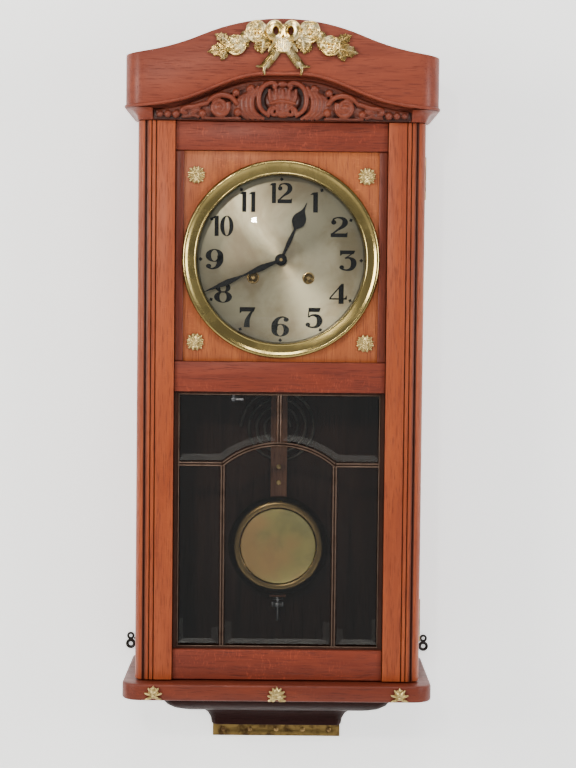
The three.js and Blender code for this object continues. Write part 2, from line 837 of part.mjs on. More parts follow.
// Mainspring barrel with its great wheel and the square that takes the key.
function makeBarrel(greatY0, greatY1, toothAt) {
  const drumRadius = 25;
  const drum = barY(drumRadius, -62, -90, 28);
  const great = slabY(gearShape(greatTeeth, greatModule, toothAt), greatY0, greatY1);
  const profile = [
    [0, -117], [2, -117], [2, bearFront], [3, bearFront],
    [3, bearBack], [2, bearBack], [2, -54.4], [0, -54.4],
  ];
  return unite(drum, great, turnedY(profile, 12));
}

place(movement, "time_barrel", makeBarrel(-60, -62.5, timeMesh), brass, windX, 0, -windDrop);
place(movement, "strike_barrel", makeBarrel(-89, -91.5, up), brass, -windX, 0, -windDrop);

// Centre arbor: driven pinion, centre wheel, then the cannon that turns the minute hand.
function makeCentre() {
  const cannonY = -103.5;
  const profile = [
    [0, -128.6], [1.6, -128.6], [1.6, bearFront], [1.8, bearFront],
    [1.8, bearBack], [pivotRadius, bearBack], [pivotRadius, backPlateRear + 0.4], [0, backPlateRear + 0.4],
  ];
  return unite(
    turnedY(profile, 12),
    slabY(gearShape(pinionTeeth, greatModule, gapAt(pinionTeeth, timeMesh + Math.PI)), -59.2, -64),
    slabY(gearShape(centreTeeth, centreModule, up), -94, -95.6),
    slabY(gearShape(cannonTeeth, motionModule, down), cannonY, cannonY - 2),
  );
}

place(movement, "centre_wheel", makeCentre(), brass);

const thirdDiscs = [
  [pinionTeeth, centreModule, gapAt(pinionTeeth, down), -92.6, -97],
  [thirdTeeth, thirdModule, up, -70, -71.6],
];
place(movement, "third_wheel", makeArbor(bearBack, bearFront, thirdDiscs), brass, 0, 0, thirdZ);

function escapeTooth() {
  const points = [];
  const step = (Math.PI * 2) / escapeTeeth;
  for (let k = 0; k < escapeTeeth; k += 1) {
    const a = k * step;
    points.push([escapeRadius * Math.cos(a), escapeRadius * Math.sin(a)]);
    const root = escapeRadius - 1.8;
    points.push([root * Math.cos(a + step * 0.45), root * Math.sin(a + step * 0.45)]);
    points.push([root * Math.cos(a + step * 0.8), root * Math.sin(a + step * 0.8)]);
  }
  return outline(points);
}

const escapeDiscs = [[pinionTeeth, thirdModule, gapAt(pinionTeeth, down), -68.8, -73]];
const escapeWheel = slabY(escapeTooth(), -78, -79.4);
const escapeArbor = makeArbor(bearBack, bearFront, escapeDiscs, [escapeWheel]);
place(movement, "escape_wheel", escapeArbor, brass, 0, 0, escapeZ);

// Anchor on its arbor with the crutch behind the back plate; the fork straddles the pendulum rod.
function makeAnchor() {
  const wheelDrop = anchorZ - escapeZ;
  const reach = escapeRadius + 1.7;
  const spread = 0.75; // radians each side of the top of the escape wheel
  const arm = 1.6;
  const at = (a, r) => [r * Math.sin(a), -wheelDrop + r * Math.cos(a)];
  const points = [[-3, 2.5], [3, 2.5], at(spread + 0.14, reach + 3.2), at(spread + 0.14, reach)];
  points.push(at(spread, reach), at(spread - 0.02, reach + arm), [0, -2.6]);
  points.push(at(-spread + 0.02, reach + arm), at(-spread, reach), at(-spread - 0.14, reach));
  points.push(at(-spread - 0.14, reach + 3.2));
  const anchor = slabY(outline(points.reverse()), -77.5, -80);
  const arborEnd = -44.2;
  const arbor = barY(1.2, arborEnd, bearFront, 10);
  const nose = barY(pivotRadius, bearFront, frontPlateRear - plateThick - 0.4, 10);
  const crutchZ = -48;
  const crutch = block(-1.5, 1.5, -50, -48, crutchZ - 3, 1);
  const bridge = block(-14, 14, -50, -48, crutchZ - 3, crutchZ + 3);
  const prong = rodWide / 2 + 0.5;
  const prongs = [-1, 1].map((s) => block(s * prong, s * (prong + 2.4), -50, -30, crutchZ - 3, crutchZ + 3));
  return unite(anchor, arbor, nose, crutch, bridge, ...prongs);
}

place(movement, "anchor", makeAnchor(), steel, 0, 0, anchorZ);

// Motion work under the dial: the cannon turns the minute wheel, whose pinion turns the hour wheel.
function makeMinuteWheel() {
  return unite(
    slabY(gearShape(minuteTeeth, motionModule, gapAt(minuteTeeth, up)), -103.5, -105.5),
    slabY(gearShape(minutePinion, hourModule, up), -105.5, -109.5),
    barY(0.9, -99.6, -103.6, 10),
  );
}

function makeHourWheel() {
  const wheel = gearShape(hourTeeth, hourModule, gapAt(hourTeeth, down));
  addHole(wheel, 0, 0, 2.1);
  const pipe = addHole(new THREE.Shape().absarc(0, 0, 3.3, 0, Math.PI * 2), 0, 0, 2.1);
  return unite(slabY(wheel, -107, -109, 6), slabY(pipe, -107, -123.4, 6));
}

place(movement, "minute_wheel", makeMinuteWheel(), brass, 0, 0, minuteZ);
place(movement, "hour_wheel", makeHourWheel(), brass);

// Strike: the barrel drives the pin wheel, whose pins lift the hammer.
function makePinWheel() {
  const pins = [];
  const pinCount = 8;
  for (let k = 0; k < pinCount; k += 1) {
    const a = (k / pinCount) * Math.PI * 2 + 0.35;
    pins.push(barY(0.9, -72, -76, 8).translate(9.4 * Math.cos(a), 0, 9.4 * Math.sin(a)));
  }
  const discs = [[pinionTeeth, greatModule, gapAt(pinionTeeth, down), -87.6, -93]];
  const disc = barY(11.4, -70.4, -72.2, 24);
  return makeArbor(bearBack, bearFront, discs, [disc, ...pins]);
}

place(movement, "pin_wheel", makePinWheel(), brass, -windX, 0, pinWheelZ);

// Hammer: a hanging arm behind the back plate with a head that strikes the gong from the left.
function makeHammer() {
  const coilTop = gongZ - dialZ - hammerZ;
  const headZ = coilTop + 34;
  const arbor = barY(1.2, -47.6, bearFront, 10);
  const nose = barY(pivotRadius, bearFront, frontPlateRear - plateThick - 0.4, 10);
  const tail = block(-1, 11.6, -73, -75, -1.2, 1.2);
  const arm = block(-1.2, 1.2, -50.2, -47.8, headZ - 2, 1.6);
  const reachBack = block(-1.2, 1.2, -50.2, gongY - 1, headZ - 2, headZ + 2);
  const head = new THREE.CylinderGeometry(4.5, 4.5, 14, 12).rotateZ(Math.PI / 2);
  return unite(arbor, nose, tail, arm, reachBack, head.translate(4, gongY - 1, headZ));
}

place(movement, "hammer", makeHammer(), steel, hammerX, 0, hammerZ);

// Plates. The pillars are riveted into the back plate.
const plateHalf = 69;
const plateLow = -58;
const plateHigh = 68;
const pillars = [[-63, 62], [63, 62], [-63, -53], [63, -53]];

function pivotHoles(shape, front) {
  const barrelRoom = 2.4;
  addHole(shape, windX, -windDrop, barrelRoom);
  addHole(shape, -windX, -windDrop, barrelRoom);
  addHole(shape, 0, 0, front ? 2 : pivotRoom);
  addHole(shape, 0, thirdZ, pivotRoom);
  addHole(shape, 0, escapeZ, pivotRoom);
  addHole(shape, 0, anchorZ, front ? pivotRoom : 1.6);
  addHole(shape, -windX, pinWheelZ, pivotRoom);
  addHole(shape, hammerX, hammerZ, front ? pivotRoom : 1.6);
  return shape;
}

function makeBackPlate() {
  const shape = pivotHoles(rectangle(-plateHalf, plateHalf, plateLow, plateHigh), false);
  const plate = slabY(shape, backPlateRear, backPlateRear - plateThick, 5);
  const posts = pillars.map(([x, z]) => {
    return barY(2.6, backPlateRear - plateThick + 0.5, frontPlateRear + joint, 10).translate(x, 0, z);
  });
  return unite(plate, ...posts);
}

function makeFrontPlate() {
  const shape = pivotHoles(rectangle(-plateHalf, plateHalf, plateLow, plateHigh), true);
  addHole(shape, 0, minuteZ, pivotRoom);
  return slabY(shape, frontPlateRear, frontPlateRear - plateThick, 5);
}

place(movement, "back_plate", makeBackPlate(), brass);
place(movement, "front_plate", makeFrontPlate(), brass);

// Iron frame that holds the movement out from the back board: a web and two arms.
function makeMovementFrame() {
  const [zLow, zHigh] = [4, 60];
  const rear = -backThick - joint;
  const web = block(-66, 66, rear, rear - 4, zLow, zLow + 22);
  const arms = [-1, 1].map((s) => block(s * 62, s * 66, rear, backPlateRear + joint, zLow, zHigh));
  return unite(web, ...arms);
}

// Back cock: two feet and a bridge, with the post that the pendulum hangs from.
function makeCock() {
  const high = anchorZ;
  const hole = rectangle(-22, 22, high - 12, high + 7);
  addHole(hole, 0, high, 1.7);
  const bridge = slabY(hole, -42.6, -45, 5);
  const feet = [-1, 1].map((s) => block(s * 17, s * 22, -44, backPlateRear + joint, high - 12, high + 7));
  const post = barY(2.2, -30, -43.5, 10).translate(0, 0, high + 4.2);
  return unite(bridge, ...feet, post);
}

place(movement, "movement_frame", makeMovementFrame(), iron);
place(movement, "suspension_cock", makeCock(), brass);

// ---- Dial and hands ----
function makeDial() {
  const disc = new THREE.Shape().absarc(0, 0, dialRadius, 0, Math.PI * 2);
  addHole(disc, 0, 0, 4.2);
  for (const s of [-1, 1]) addHole(disc, s * windX, -windDrop, 5.4);
  const feet = [[-56, 45], [56, 45], [-56, -45], [56, -45]].map(([x, z]) => {
    return barY(2, frontPlateRear - plateThick - joint, dialFace + 0.6, 8).translate(x, 0, z);
  });
  return unite(slabY(disc, dialFace + 1.2, dialFace, 20), ...feet);
}

place(movement, "dial", makeDial(), silvered);

const hourAngle = 24; // degrees clockwise from twelve
const minuteAngle = 246.7;

// Hour hand: a thin stem that swells to a teardrop near its pointed end.
function hourOutline() {
  return [
    [1, 4.4], [1, 26], [4.2, 34], [7.2, 41], [7.8, 47], [5.6, 53], [2, 59], [0.4, 68],
    [-0.4, 68], [-2, 59], [-5.6, 53], [-7.8, 47], [-7.2, 41], [-4.2, 34], [-1, 26], [-1, 4.4],
  ];
}

// Minute hand: two long lozenges end to end.
function minuteOutline() {
  const right = [[1.2, 3], [4.3, 24], [1, 46], [3.6, 66], [0.4, 94]];
  const left = right.map(([x, z]) => [-x, z]).reverse();
  return [...right, ...left];
}

function makeHand(points, bossRadius, boreRadius, yBack, thick, degrees) {
  const boss = addHole(new THREE.Shape().absarc(0, 0, bossRadius, 0, Math.PI * 2), 0, 0, boreRadius);
  const blade = unite(slabY(boss, yBack, yBack - thick, 8), slabY(outline(points), yBack, yBack - thick));
  return blade.rotateY((degrees * Math.PI) / 180);
}

place(movement, "hour_hand", makeHand(hourOutline(), 7, 3.6, -121, 1.2, hourAngle), iron);
place(movement, "minute_hand", makeHand(minuteOutline(), 5.6, 1.9, -126, 1.2, minuteAngle), iron);

// ---- Gong ----
const wire = 1.8;
const gongOuter = 48;
const gongInner = 13;
const gongTurns = 3.5;

class Spiral extends THREE.Curve {
  getPoint(t) {
    const a = t * gongTurns * Math.PI * 2;
    const r = gongInner + (gongOuter - wire - gongInner) * t;
    return new THREE.Vector3(r * Math.cos(a), 0, r * Math.sin(a));
  }
}

function makeGong() {
  const section = new THREE.Shape();
  const sides = 6;
  for (let k = 0; k < sides; k += 1) {
    const a = (k / sides) * Math.PI * 2;
    if (k === 0) section.moveTo(wire, 0);
    else section.lineTo(wire * Math.cos(a), wire * Math.sin(a));
  }
  section.closePath();
  return new THREE.ExtrudeGeometry(section, { extrudePath: new Spiral(), steps: 56, bevelEnabled: false });
}

// Cast block that grips the inner end of the coil.
function makeGongBlock() {
  const rear = -backThick - joint;
  const foot = barY(10.5, rear, rear - 4, 16);
  const post = barY(8.5, rear - 3, gongY - 4, 16);
  return unite(foot, post);
}

place(clock, "gong_coil", makeGong(), steel, 0, gongY, gongZ);
place(clock, "gong_block", makeGongBlock(), iron, 0, 0, gongZ);

// ---- Pendulum ----
const rodThick = 7;
const rodTop = suspensionZ - 18;
const rodLow = bobZ - 62;
const threadLow = -630;
const nutZ = -611;

// Wooden rod with its suspension spring above and the threaded end below.
function makeRod() {
  const half = rodWide / 2;
  const rod = block(-half, half, pendulumY - rodThick / 2, pendulumY + rodThick / 2, rodLow, rodTop);
  const spring = block(-3, 3, pendulumY - 0.4, pendulumY + 0.4, rodTop - 1, suspensionZ + 1.6);
  const thread = barZ(1.6, threadLow, rodLow + 1, 10).translate(0, pendulumY, 0);
  return unite(rod, spring, thread);
}

// Bob: a flat disc inside a convex rim, with a plain back that lies against the rod.
function makeBob() {
  const rear = pendulumY - rodThick / 2 - joint;
  const disc = 44.4;
  const profile = [
    [0, rear - 6], [disc - 0.6, rear - 6], [disc, rear - 6.8], [disc + 3, rear - 8.6],
    [bobRadius - 5, rear - 7.6], [bobRadius - 1, rear - 4.4], [bobRadius, rear - 2.4],
    [bobRadius - 1, rear], [0, rear],
  ];
  return turnedY(profile, 48);
}

// Round rating nut on the thread, with a milled edge.
function makeNut() {
  const milled = gearShape(20, 0.62, 0);
  addHole(milled, 0, 0, 1.9);
  return slabZ(milled, -2.5, 2.5, 5);
}

place(clock, "pendulum_rod", makeRod(), oakDark);
place(clock, "pendulum_bob", makeBob(), brass, 0, 0, bobZ);
place(clock, "rating_nut", makeNut(), brass, 0, pendulumY, nutZ);

export default clock;
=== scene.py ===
import math

import bpy
from mathutils import Matrix, Vector


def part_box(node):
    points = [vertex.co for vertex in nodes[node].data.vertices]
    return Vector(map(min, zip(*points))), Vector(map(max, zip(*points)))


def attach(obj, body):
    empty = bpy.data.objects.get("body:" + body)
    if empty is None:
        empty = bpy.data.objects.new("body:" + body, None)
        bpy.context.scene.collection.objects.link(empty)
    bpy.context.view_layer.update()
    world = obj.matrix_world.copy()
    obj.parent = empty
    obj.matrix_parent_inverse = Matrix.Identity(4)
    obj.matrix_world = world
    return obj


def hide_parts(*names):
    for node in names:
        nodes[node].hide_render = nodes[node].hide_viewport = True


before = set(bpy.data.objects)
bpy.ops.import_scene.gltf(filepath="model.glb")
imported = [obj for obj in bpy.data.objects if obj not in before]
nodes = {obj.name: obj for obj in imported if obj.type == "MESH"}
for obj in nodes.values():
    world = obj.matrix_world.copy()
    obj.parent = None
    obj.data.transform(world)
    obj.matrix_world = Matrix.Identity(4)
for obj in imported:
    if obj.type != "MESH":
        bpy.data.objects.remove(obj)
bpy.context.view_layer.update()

mm = 0.001


# places taken from the frame
def middle(node):
    low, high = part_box(node)
    return (low + high) / 2


dialCentre = middle("bezel")
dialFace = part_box("dial")[0].y
hoodLowCorner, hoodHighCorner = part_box("crown_hood")
hoodFront = hoodLowCorner.y
hoodHalf = hoodHighCorner.x
panelLow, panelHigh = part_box("dial_panel")
bobLow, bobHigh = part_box("pendulum_bob")
wallY = 0.0015


def deselectAll():
    if bpy.context.mode != "OBJECT":
        bpy.ops.object.mode_set(mode="OBJECT")
    bpy.ops.object.select_all(action="DESELECT")


def makeActive(piece):
    deselectAll()
    piece.select_set(True)
    bpy.context.view_layer.objects.active = piece


def applyPlace(piece):
    makeActive(piece)
    bpy.ops.object.transform_apply(location=True, rotation=True, scale=True)


def applyModifiers(piece):
    makeActive(piece)
    for modifier in list(piece.modifiers):
        bpy.ops.object.modifier_apply(modifier=modifier.name)


def joinPieces(pieces, name):
    deselectAll()
    for piece in pieces:
        piece.select_set(True)
    bpy.context.view_layer.objects.active = pieces[0]
    if len(pieces) > 1:
        bpy.ops.object.join()
    joined = bpy.context.view_layer.objects.active
    joined.name = name
    joined.data.name = name
    return joined


def smoothByAngle(piece, degrees=32):
    makeActive(piece)
    bpy.ops.object.shade_smooth_by_angle(angle=math.radians(degrees))


# opens a piece for editing with all of it selected
def editAll(piece):
    makeActive(piece)
    bpy.ops.object.mode_set(mode="EDIT")
    bpy.ops.mesh.select_all(action="SELECT")


def outwardNormals(piece):
    editAll(piece)
    bpy.ops.mesh.remove_doubles(threshold=0.00001)
    bpy.ops.mesh.normals_make_consistent(inside=False)
    bpy.ops.object.mode_set(mode="OBJECT")


def addBevel(piece, width, segments=3, degrees=28):
    bevel = piece.modifiers.new("edge", "BEVEL")
    bevel.width = width
    bevel.segments = segments
    bevel.limit_method = "ANGLE"
    bevel.angle_limit = math.radians(degrees)
    bevel.harden_normals = False
    applyModifiers(piece)


def voxelRemesh(piece, size, smoothSteps=4):
    remesh = piece.modifiers.new("skin", "REMESH")
    remesh.mode = "VOXEL"
    remesh.voxel_size = size
    relax = piece.modifiers.new("relax", "SMOOTH")
    relax.factor = 0.5
    relax.iterations = smoothSteps
    applyModifiers(piece)
    makeActive(piece)
    bpy.ops.object.shade_smooth()


def settle(piece, body, material, replaced=()):
    piece.data.materials.clear()
    piece.data.materials.append(material)
    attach(piece, body)
    for node in replaced:
        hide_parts(node)
    return piece


# a node's mesh, welded and with its hard edges rounded over
def softCopy(node, name, width, segments=3, degrees=28):
    piece = nodes[node].copy()
    piece.data = nodes[node].data.copy()
    for key in list(piece.keys()):
        del piece[key]
    piece.parent = None
    piece.matrix_world = Matrix.Identity(4)
    piece.name = name
    piece.data.name = name
    bpy.context.scene.collection.objects.link(piece)
    editAll(piece)
    bpy.ops.mesh.remove_doubles(threshold=0.00001)
    bpy.ops.mesh.dissolve_limited(angle_limit=math.radians(0.5))
    bpy.ops.object.mode_set(mode="OBJECT")
    if width:
        addBevel(piece, width, segments, degrees)
    smoothByAngle(piece)
    return piece


# a closed front-view outline (x, z in millimetres) given a thickness from yBack to yFront
def flatPiece(name, loops, centre, yBack, yFront, round=0.0):
    curve = bpy.data.curves.new(name, "CURVE")
    curve.dimensions = "2D"
    curve.fill_mode = "BOTH"
    for loop in loops:
        spline = curve.splines.new("POLY")
        spline.points.add(len(loop) - 1)
        for point, (x, z) in zip(spline.points, loop):
            point.co = (x * mm, z * mm, 0, 1)
        spline.use_cyclic_u = True
    curve.extrude = abs(yBack - yFront) / 2 - round
    curve.bevel_depth = round
    curve.bevel_resolution = 2
    curve.offset = -round
    piece = bpy.data.objects.new(name, curve)
    bpy.context.scene.collection.objects.link(piece)
    makeActive(piece)
    bpy.ops.object.convert(target="MESH")
    piece = bpy.context.view_layer.objects.active
    piece.rotation_euler = (math.pi / 2, 0, 0)
    piece.location = (centre[0], (yBack + yFront) / 2, centre[1])
    applyPlace(piece)
    return piece


# a tube along points (x, y, z, radius) in millimetres
def tubePiece(name, points, closed=False, resolution=3, order=3):
    curve = bpy.data.curves.new(name, "CURVE")
    curve.dimensions = "3D"
    curve.bevel_depth = mm
    curve.bevel_resolution = resolution
    curve.use_fill_caps = True
    curve.resolution_u = 6
    spline = curve.splines.new("NURBS")
    spline.points.add(len(points) - 1)
    for point, (x, y, z, radius) in zip(spline.points, points):
        point.co = (x * mm, y * mm, z * mm, 1)
        point.radius = radius
    spline.order_u = order
    spline.use_endpoint_u = not closed
    spline.use_cyclic_u = closed
    piece = bpy.data.objects.new(name, curve)
    bpy.context.scene.collection.objects.link(piece)
    makeActive(piece)
    bpy.ops.object.convert(target="MESH")
    return bpy.context.view_layer.objects.active


# an egg shape, size and place in millimetres, turned in the front view
def eggPiece(x, y, z, sizeX, sizeY, sizeZ, turn=0.0, lean=0.0, segments=20):
    deselectAll()
    bpy.ops.mesh.primitive_uv_sphere_add(segments=segments, ring_count=segments // 2, radius=mm)
    piece = bpy.context.view_layer.objects.active
    piece.scale = (sizeX, sizeY, sizeZ)
    piece.rotation_euler = (lean, math.radians(turn), 0)
    piece.location = (x * mm, y * mm, z * mm)
    applyPlace(piece)
    return piece


# a profile of (radius, y) in millimetres spun about the Y axis through the centre
def spunPiece(name, profile, centre, steps=120, closed=True):
    deselectAll()
    mesh = bpy.data.meshes.new(name)
    edges = [(i, i + 1) for i in range(len(profile) - 1)]
    if closed:
        edges.append((len(profile) - 1, 0))
    points = [(centre[0] + r * mm, y * mm, centre[1]) for r, y in profile]
    mesh.from_pydata(points, edges, [])
    piece = bpy.data.objects.new(name, mesh)
    bpy.context.scene.collection.objects.link(piece)
    editAll(piece)
    bpy.ops.mesh.spin(steps=steps, angle=math.tau, center=(centre[0], 0, centre[1]), axis=(0, 1, 0))
    bpy.ops.object.mode_set(mode="OBJECT")
    outwardNormals(piece)
    smoothByAngle(piece, 40)
    return piece


def blockPiece(name, low, high):
    deselectAll()
    bpy.ops.mesh.primitive_cube_add(size=1)
    piece = bpy.context.view_layer.objects.active
    low, high = Vector(low), Vector(high)
    piece.scale = high - low
    piece.location = (low + high) / 2
    applyPlace(piece)
    piece.name = name
    return piece


def newGroup(name, inputs, outputs):
    group = bpy.data.node_groups.new(name, "ShaderNodeTree")
    for label, kind, value in inputs:
        socket = group.interface.new_socket(label, in_out="INPUT", socket_type=kind)
        if value is not None:
            socket.default_value = value
    for label, kind in outputs:
        group.interface.new_socket(label, in_out="OUTPUT", socket_type=kind)
    return group, group.nodes.new("NodeGroupInput"), group.nodes.new("NodeGroupOutput")


def addNode(tree, kind, **settings):
    node = tree.nodes.new(kind)
    for key, value in settings.items():
        setattr(node, key, value)
    return node


def stretched(tree, source, scale, turn=(0, 0, 0)):
    mapping = addNode(tree, "ShaderNodeMapping")
    mapping.inputs["Scale"].default_value = scale
    mapping.inputs["Rotation"].default_value = turn
    tree.links.new(source, mapping.inputs["Vector"])
    return mapping.outputs["Vector"]


def noise(tree, vector, scale, detail=3, roughness=0.5, distortion=0.0):
    texture = addNode(tree, "ShaderNodeTexNoise")
    texture.inputs["Scale"].default_value = scale
    texture.inputs["Detail"].default_value = detail
    texture.inputs["Roughness"].default_value = roughness
    texture.inputs["Distortion"].default_value = distortion
    tree.links.new(vector, texture.inputs["Vector"])
    return texture.outputs["Fac"]


def span(tree, value, fromLow, fromHigh, toLow=0.0, toHigh=1.0):
    node = addNode(tree, "ShaderNodeMapRange")
    node.interpolation_type = "SMOOTHSTEP"
    node.inputs["From Min"].default_value = fromLow
    node.inputs["From Max"].default_value = fromHigh
    node.inputs["To Min"].default_value = toLow
    node.inputs["To Max"].default_value = toHigh
    tree.links.new(value, node.inputs["Value"])
    return node.outputs["Result"]


def sums(tree, operation, a, b):
    node = addNode(tree, "ShaderNodeMath", operation=operation)
    for socket, value in zip(node.inputs, (a, b)):
        if isinstance(value, (int, float)):
            socket.default_value = value
        else:
            tree.links.new(value, socket)
    return node.outputs["Value"]


def blendColour(tree, factor, a, b, mode="MIX"):
    node = addNode(tree, "ShaderNodeMix", data_type="RGBA", blend_type=mode)
    sockets = [node.inputs["Factor"], node.inputs[6], node.inputs[7]]
    for socket, value in zip(sockets, (factor, a, b)):
        if isinstance(value, (int, float)):
            socket.default_value = value
        elif isinstance(value, tuple):
            socket.default_value = (*value, 1)
        else:
            tree.links.new(value, socket)
    return node.outputs[2]


colourKind, floatKind, vectorKind = "NodeSocketColor", "NodeSocketFloat", "NodeSocketVector"


# oak with its grain along the vector's Z: fibres, open pores, wide figure and ray flecks
def buildOakGrain():
    group, gin, gout = newGroup(
        "oakGrain",
        [("Vector", vectorKind, None), ("Pale", colourKind, (0.5, 0.2, 0.09, 1)),
         ("Deep", colourKind, (0.3, 0.1, 0.05, 1)), ("Pore", colourKind, (0.1, 0.03, 0.02, 1)),
         ("Fleck", floatKind, 0.4)],
        [("Color", colourKind), ("Roughness", floatKind), ("Height", floatKind)],
    )
    along = stretched(group, gin.outputs["Vector"], (1, 1, 0.045))
    figure = noise(group, stretched(group, gin.outputs["Vector"], (1, 1, 0.12)), 34, 4, 0.55, 1.2)
    fibre = noise(group, along, 520, 4, 0.65, 0.2)
    pores = span(group, noise(group, along, 1250, 2, 0.5), 0.56, 0.68)
    rayTurn = stretched(group, gin.outputs["Vector"], (1, 1, 3.2), (0, 0.35, 0.2))
    rayWide = stretched(group, gin.outputs["Vector"], (1, 1, 0.5))
    rayBand = span(group, noise(group, rayWide, 30, 2), 0.45, 0.62)
    rays = span(group, noise(group, rayTurn, 115, 3, 0.55, 1.5), 0.55, 0.66)
    fleck = sums(group, "MULTIPLY", sums(group, "MULTIPLY", rays, rayBand), gin.outputs["Fleck"])
    tone = sums(group, "ADD", sums(group, "MULTIPLY", figure, 0.62), sums(group, "MULTIPLY", fibre, 0.42))
    wood = blendColour(group, span(group, tone, 0.36, 0.68), gin.outputs["Pale"], gin.outputs["Deep"])
    wood = blendColour(group, sums(group, "MULTIPLY", pores, 0.62), wood, gin.outputs["Pore"])
    bright = blendColour(group, 1.0, wood, (1.75, 1.7, 1.6), "MULTIPLY")
    wood = blendColour(group, fleck, wood, bright)
    group.links.new(wood, gout.inputs["Color"])
    rough = sums(group, "ADD", 0.34, sums(group, "MULTIPLY", pores, 0.3))
    rough = sums(group, "ADD", rough, sums(group, "MULTIPLY", figure, 0.12))
    group.links.new(rough, gout.inputs["Roughness"])
    height = sums(group, "SUBTRACT", sums(group, "MULTIPLY", fibre, 0.3), sums(group, "MULTIPLY", pores, 0.7))
    group.links.new(height, gout.inputs["Height"])
    return group


# grime: broad uneven patches plus fine specks, both as masks
def buildGrime():
    group, gin, gout = newGroup(
        "grime", [("Vector", vectorKind, None), ("Patch Scale", floatKind, 18.0)],
        [("Patches", floatKind), ("Specks", floatKind)],
    )
    texture = addNode(group, "ShaderNodeTexNoise")
    texture.inputs["Detail"].default_value = 5
    texture.inputs["Roughness"].default_value = 0.62
    texture.inputs["Distortion"].default_value = 0.4
    group.links.new(gin.outputs["Vector"], texture.inputs["Vector"])
    group.links.new(gin.outputs["Patch Scale"], texture.inputs["Scale"])
    group.links.new(span(group, texture.outputs["Fac"], 0.42, 0.66), gout.inputs["Patches"])
    specks = span(group, noise(group, gin.outputs["Vector"], 900, 2, 0.4), 0.66, 0.74)
    group.links.new(specks, gout.inputs["Specks"])
    return group


# painted shade for the hollows of carving and casting: a darkness mask from the surface's distance to its
# front
def buildHollows():
    group, gin, gout = newGroup(
        "paintedHollowShade",
        [("Vector", vectorKind, None), ("Back", floatKind, -0.1532), ("Front", floatKind, -0.1585)],
        [("Depth", floatKind)],
    )
    parts = addNode(group, "ShaderNodeSeparateXYZ")
    group.links.new(gin.outputs["Vector"], parts.inputs["Vector"])
    node = addNode(group, "ShaderNodeMapRange", interpolation_type="SMOOTHSTEP")
    group.links.new(parts.outputs["Y"], node.inputs["Value"])
    group.links.new(gin.outputs["Front"], node.inputs["From Min"])
    group.links.new(gin.outputs["Back"], node.inputs["From Max"])
    group.links.new(node.outputs["Result"], gout.inputs["Depth"])
    return group


oakGrain = buildOakGrain()
grime = buildGrime()
paintedHollowShade = buildHollows()
print("shared effects built")


def newMaterial(name, metallic=0.0, roughness=0.5):
    material = bpy.data.materials.new(name)
    material.use_nodes = True
    tree = material.node_tree
    shader = tree.nodes["Principled BSDF"]
    shader.inputs["Metallic"].default_value = metallic
    shader.inputs["Roughness"].default_value = roughness
    place = addNode(tree, "ShaderNodeTexCoord")
    return material, tree, shader, place.outputs["Object"]


def placeGroup(tree, group, vector, **values):
    node = addNode(tree, "ShaderNodeGroup", node_tree=group)
    tree.links.new(vector, node.inputs["Vector"])
    for label, value in values.items():
        socket = node.inputs[label.replace("_", " ")]
        socket.default_value = (*value, 1) if isinstance(value, tuple) else value
    return node


# lays a mask over a colour, at a share of its strength
def laidOver(tree, mask, share, under, over):
    return blendColour(tree, sums(tree, "MULTIPLY", mask, share), under, over)


def addBump(tree, shader, height, distance, strength=1.0):
    bump = addNode(tree, "ShaderNodeBump")
    bump.inputs["Distance"].default_value = distance
    bump.inputs["Strength"].default_value = strength
    tree.links.new(height, bump.inputs["Height"])
    tree.links.new(bump.outputs["Normal"], shader.inputs["Normal"])


woodTurns = {"upright": (0, 0, 0), "level": (0, math.pi / 2, 0)}


def oakMaterial(name, pale, deep, pore, fleck, grain="upright", coat=0.09, stainAndShadeInside=0.0, carved=False,
                grooves=False, relief=0.75, shine=0.22):
    material, tree, shader, place = newMaterial(name)
    turned = stretched(tree, place, (1, 1, 1), woodTurns[grain])
    oak = placeGroup(tree, oakGrain, turned, Pale=pale, Deep=deep, Pore=pore, Fleck=fleck)
    dirt = placeGroup(tree, grime, place, Patch_Scale=9.0)
    colour = laidOver(tree, dirt.outputs["Patches"], 0.22, oak.outputs["Color"], deep)
    # dark stain and painted shade: the case sides are darkened almost to black where they face the inside of
    # the case
    if stainAndShadeInside:
        parts = addNode(tree, "ShaderNodeSeparateXYZ")
        tree.links.new(place, parts.inputs["Vector"])
        inner = span(tree, sums(tree, "ABSOLUTE", parts.outputs["X"], 0), stainAndShadeInside, stainAndShadeInside - 0.001)
        colour = laidOver(tree, inner, 0.9, colour, (0.02, 0.011, 0.008))
    # painted shade: the carved hollows and the stile grooves are darkened almost to black by their depth
    # behind the front
    if carved or grooves:
        depths = dict(Back=-0.1534, Front=-0.1606) if carved else dict(Back=-0.1486, Front=-0.1497)
        depth = placeGroup(tree, paintedHollowShade, place, **depths).outputs["Depth"]
        if grooves:
            parts = addNode(tree, "ShaderNodeSeparateXYZ")
            tree.links.new(place, parts.inputs["Vector"])
            outward = span(tree, sums(tree, "ABSOLUTE", parts.outputs["X"], 0), 0.1535, 0.1525)
            depth = sums(tree, "MULTIPLY", depth, outward)
        colour = laidOver(tree, depth, 0.9, colour, (0.022, 0.006, 0.004))
    tree.links.new(colour, shader.inputs["Base Color"])
    rough = sums(tree, "ADD", oak.outputs["Roughness"], sums(tree, "MULTIPLY", dirt.outputs["Patches"], 0.08))
    tree.links.new(rough, shader.inputs["Roughness"])
    shader.inputs["Specular IOR Level"].default_value = shine
    shader.inputs["Coat Weight"].default_value = coat
    shader.inputs["Coat Roughness"].default_value = 0.3
    addBump(tree, shader, oak.outputs["Height"], 0.00022, relief)
    return material


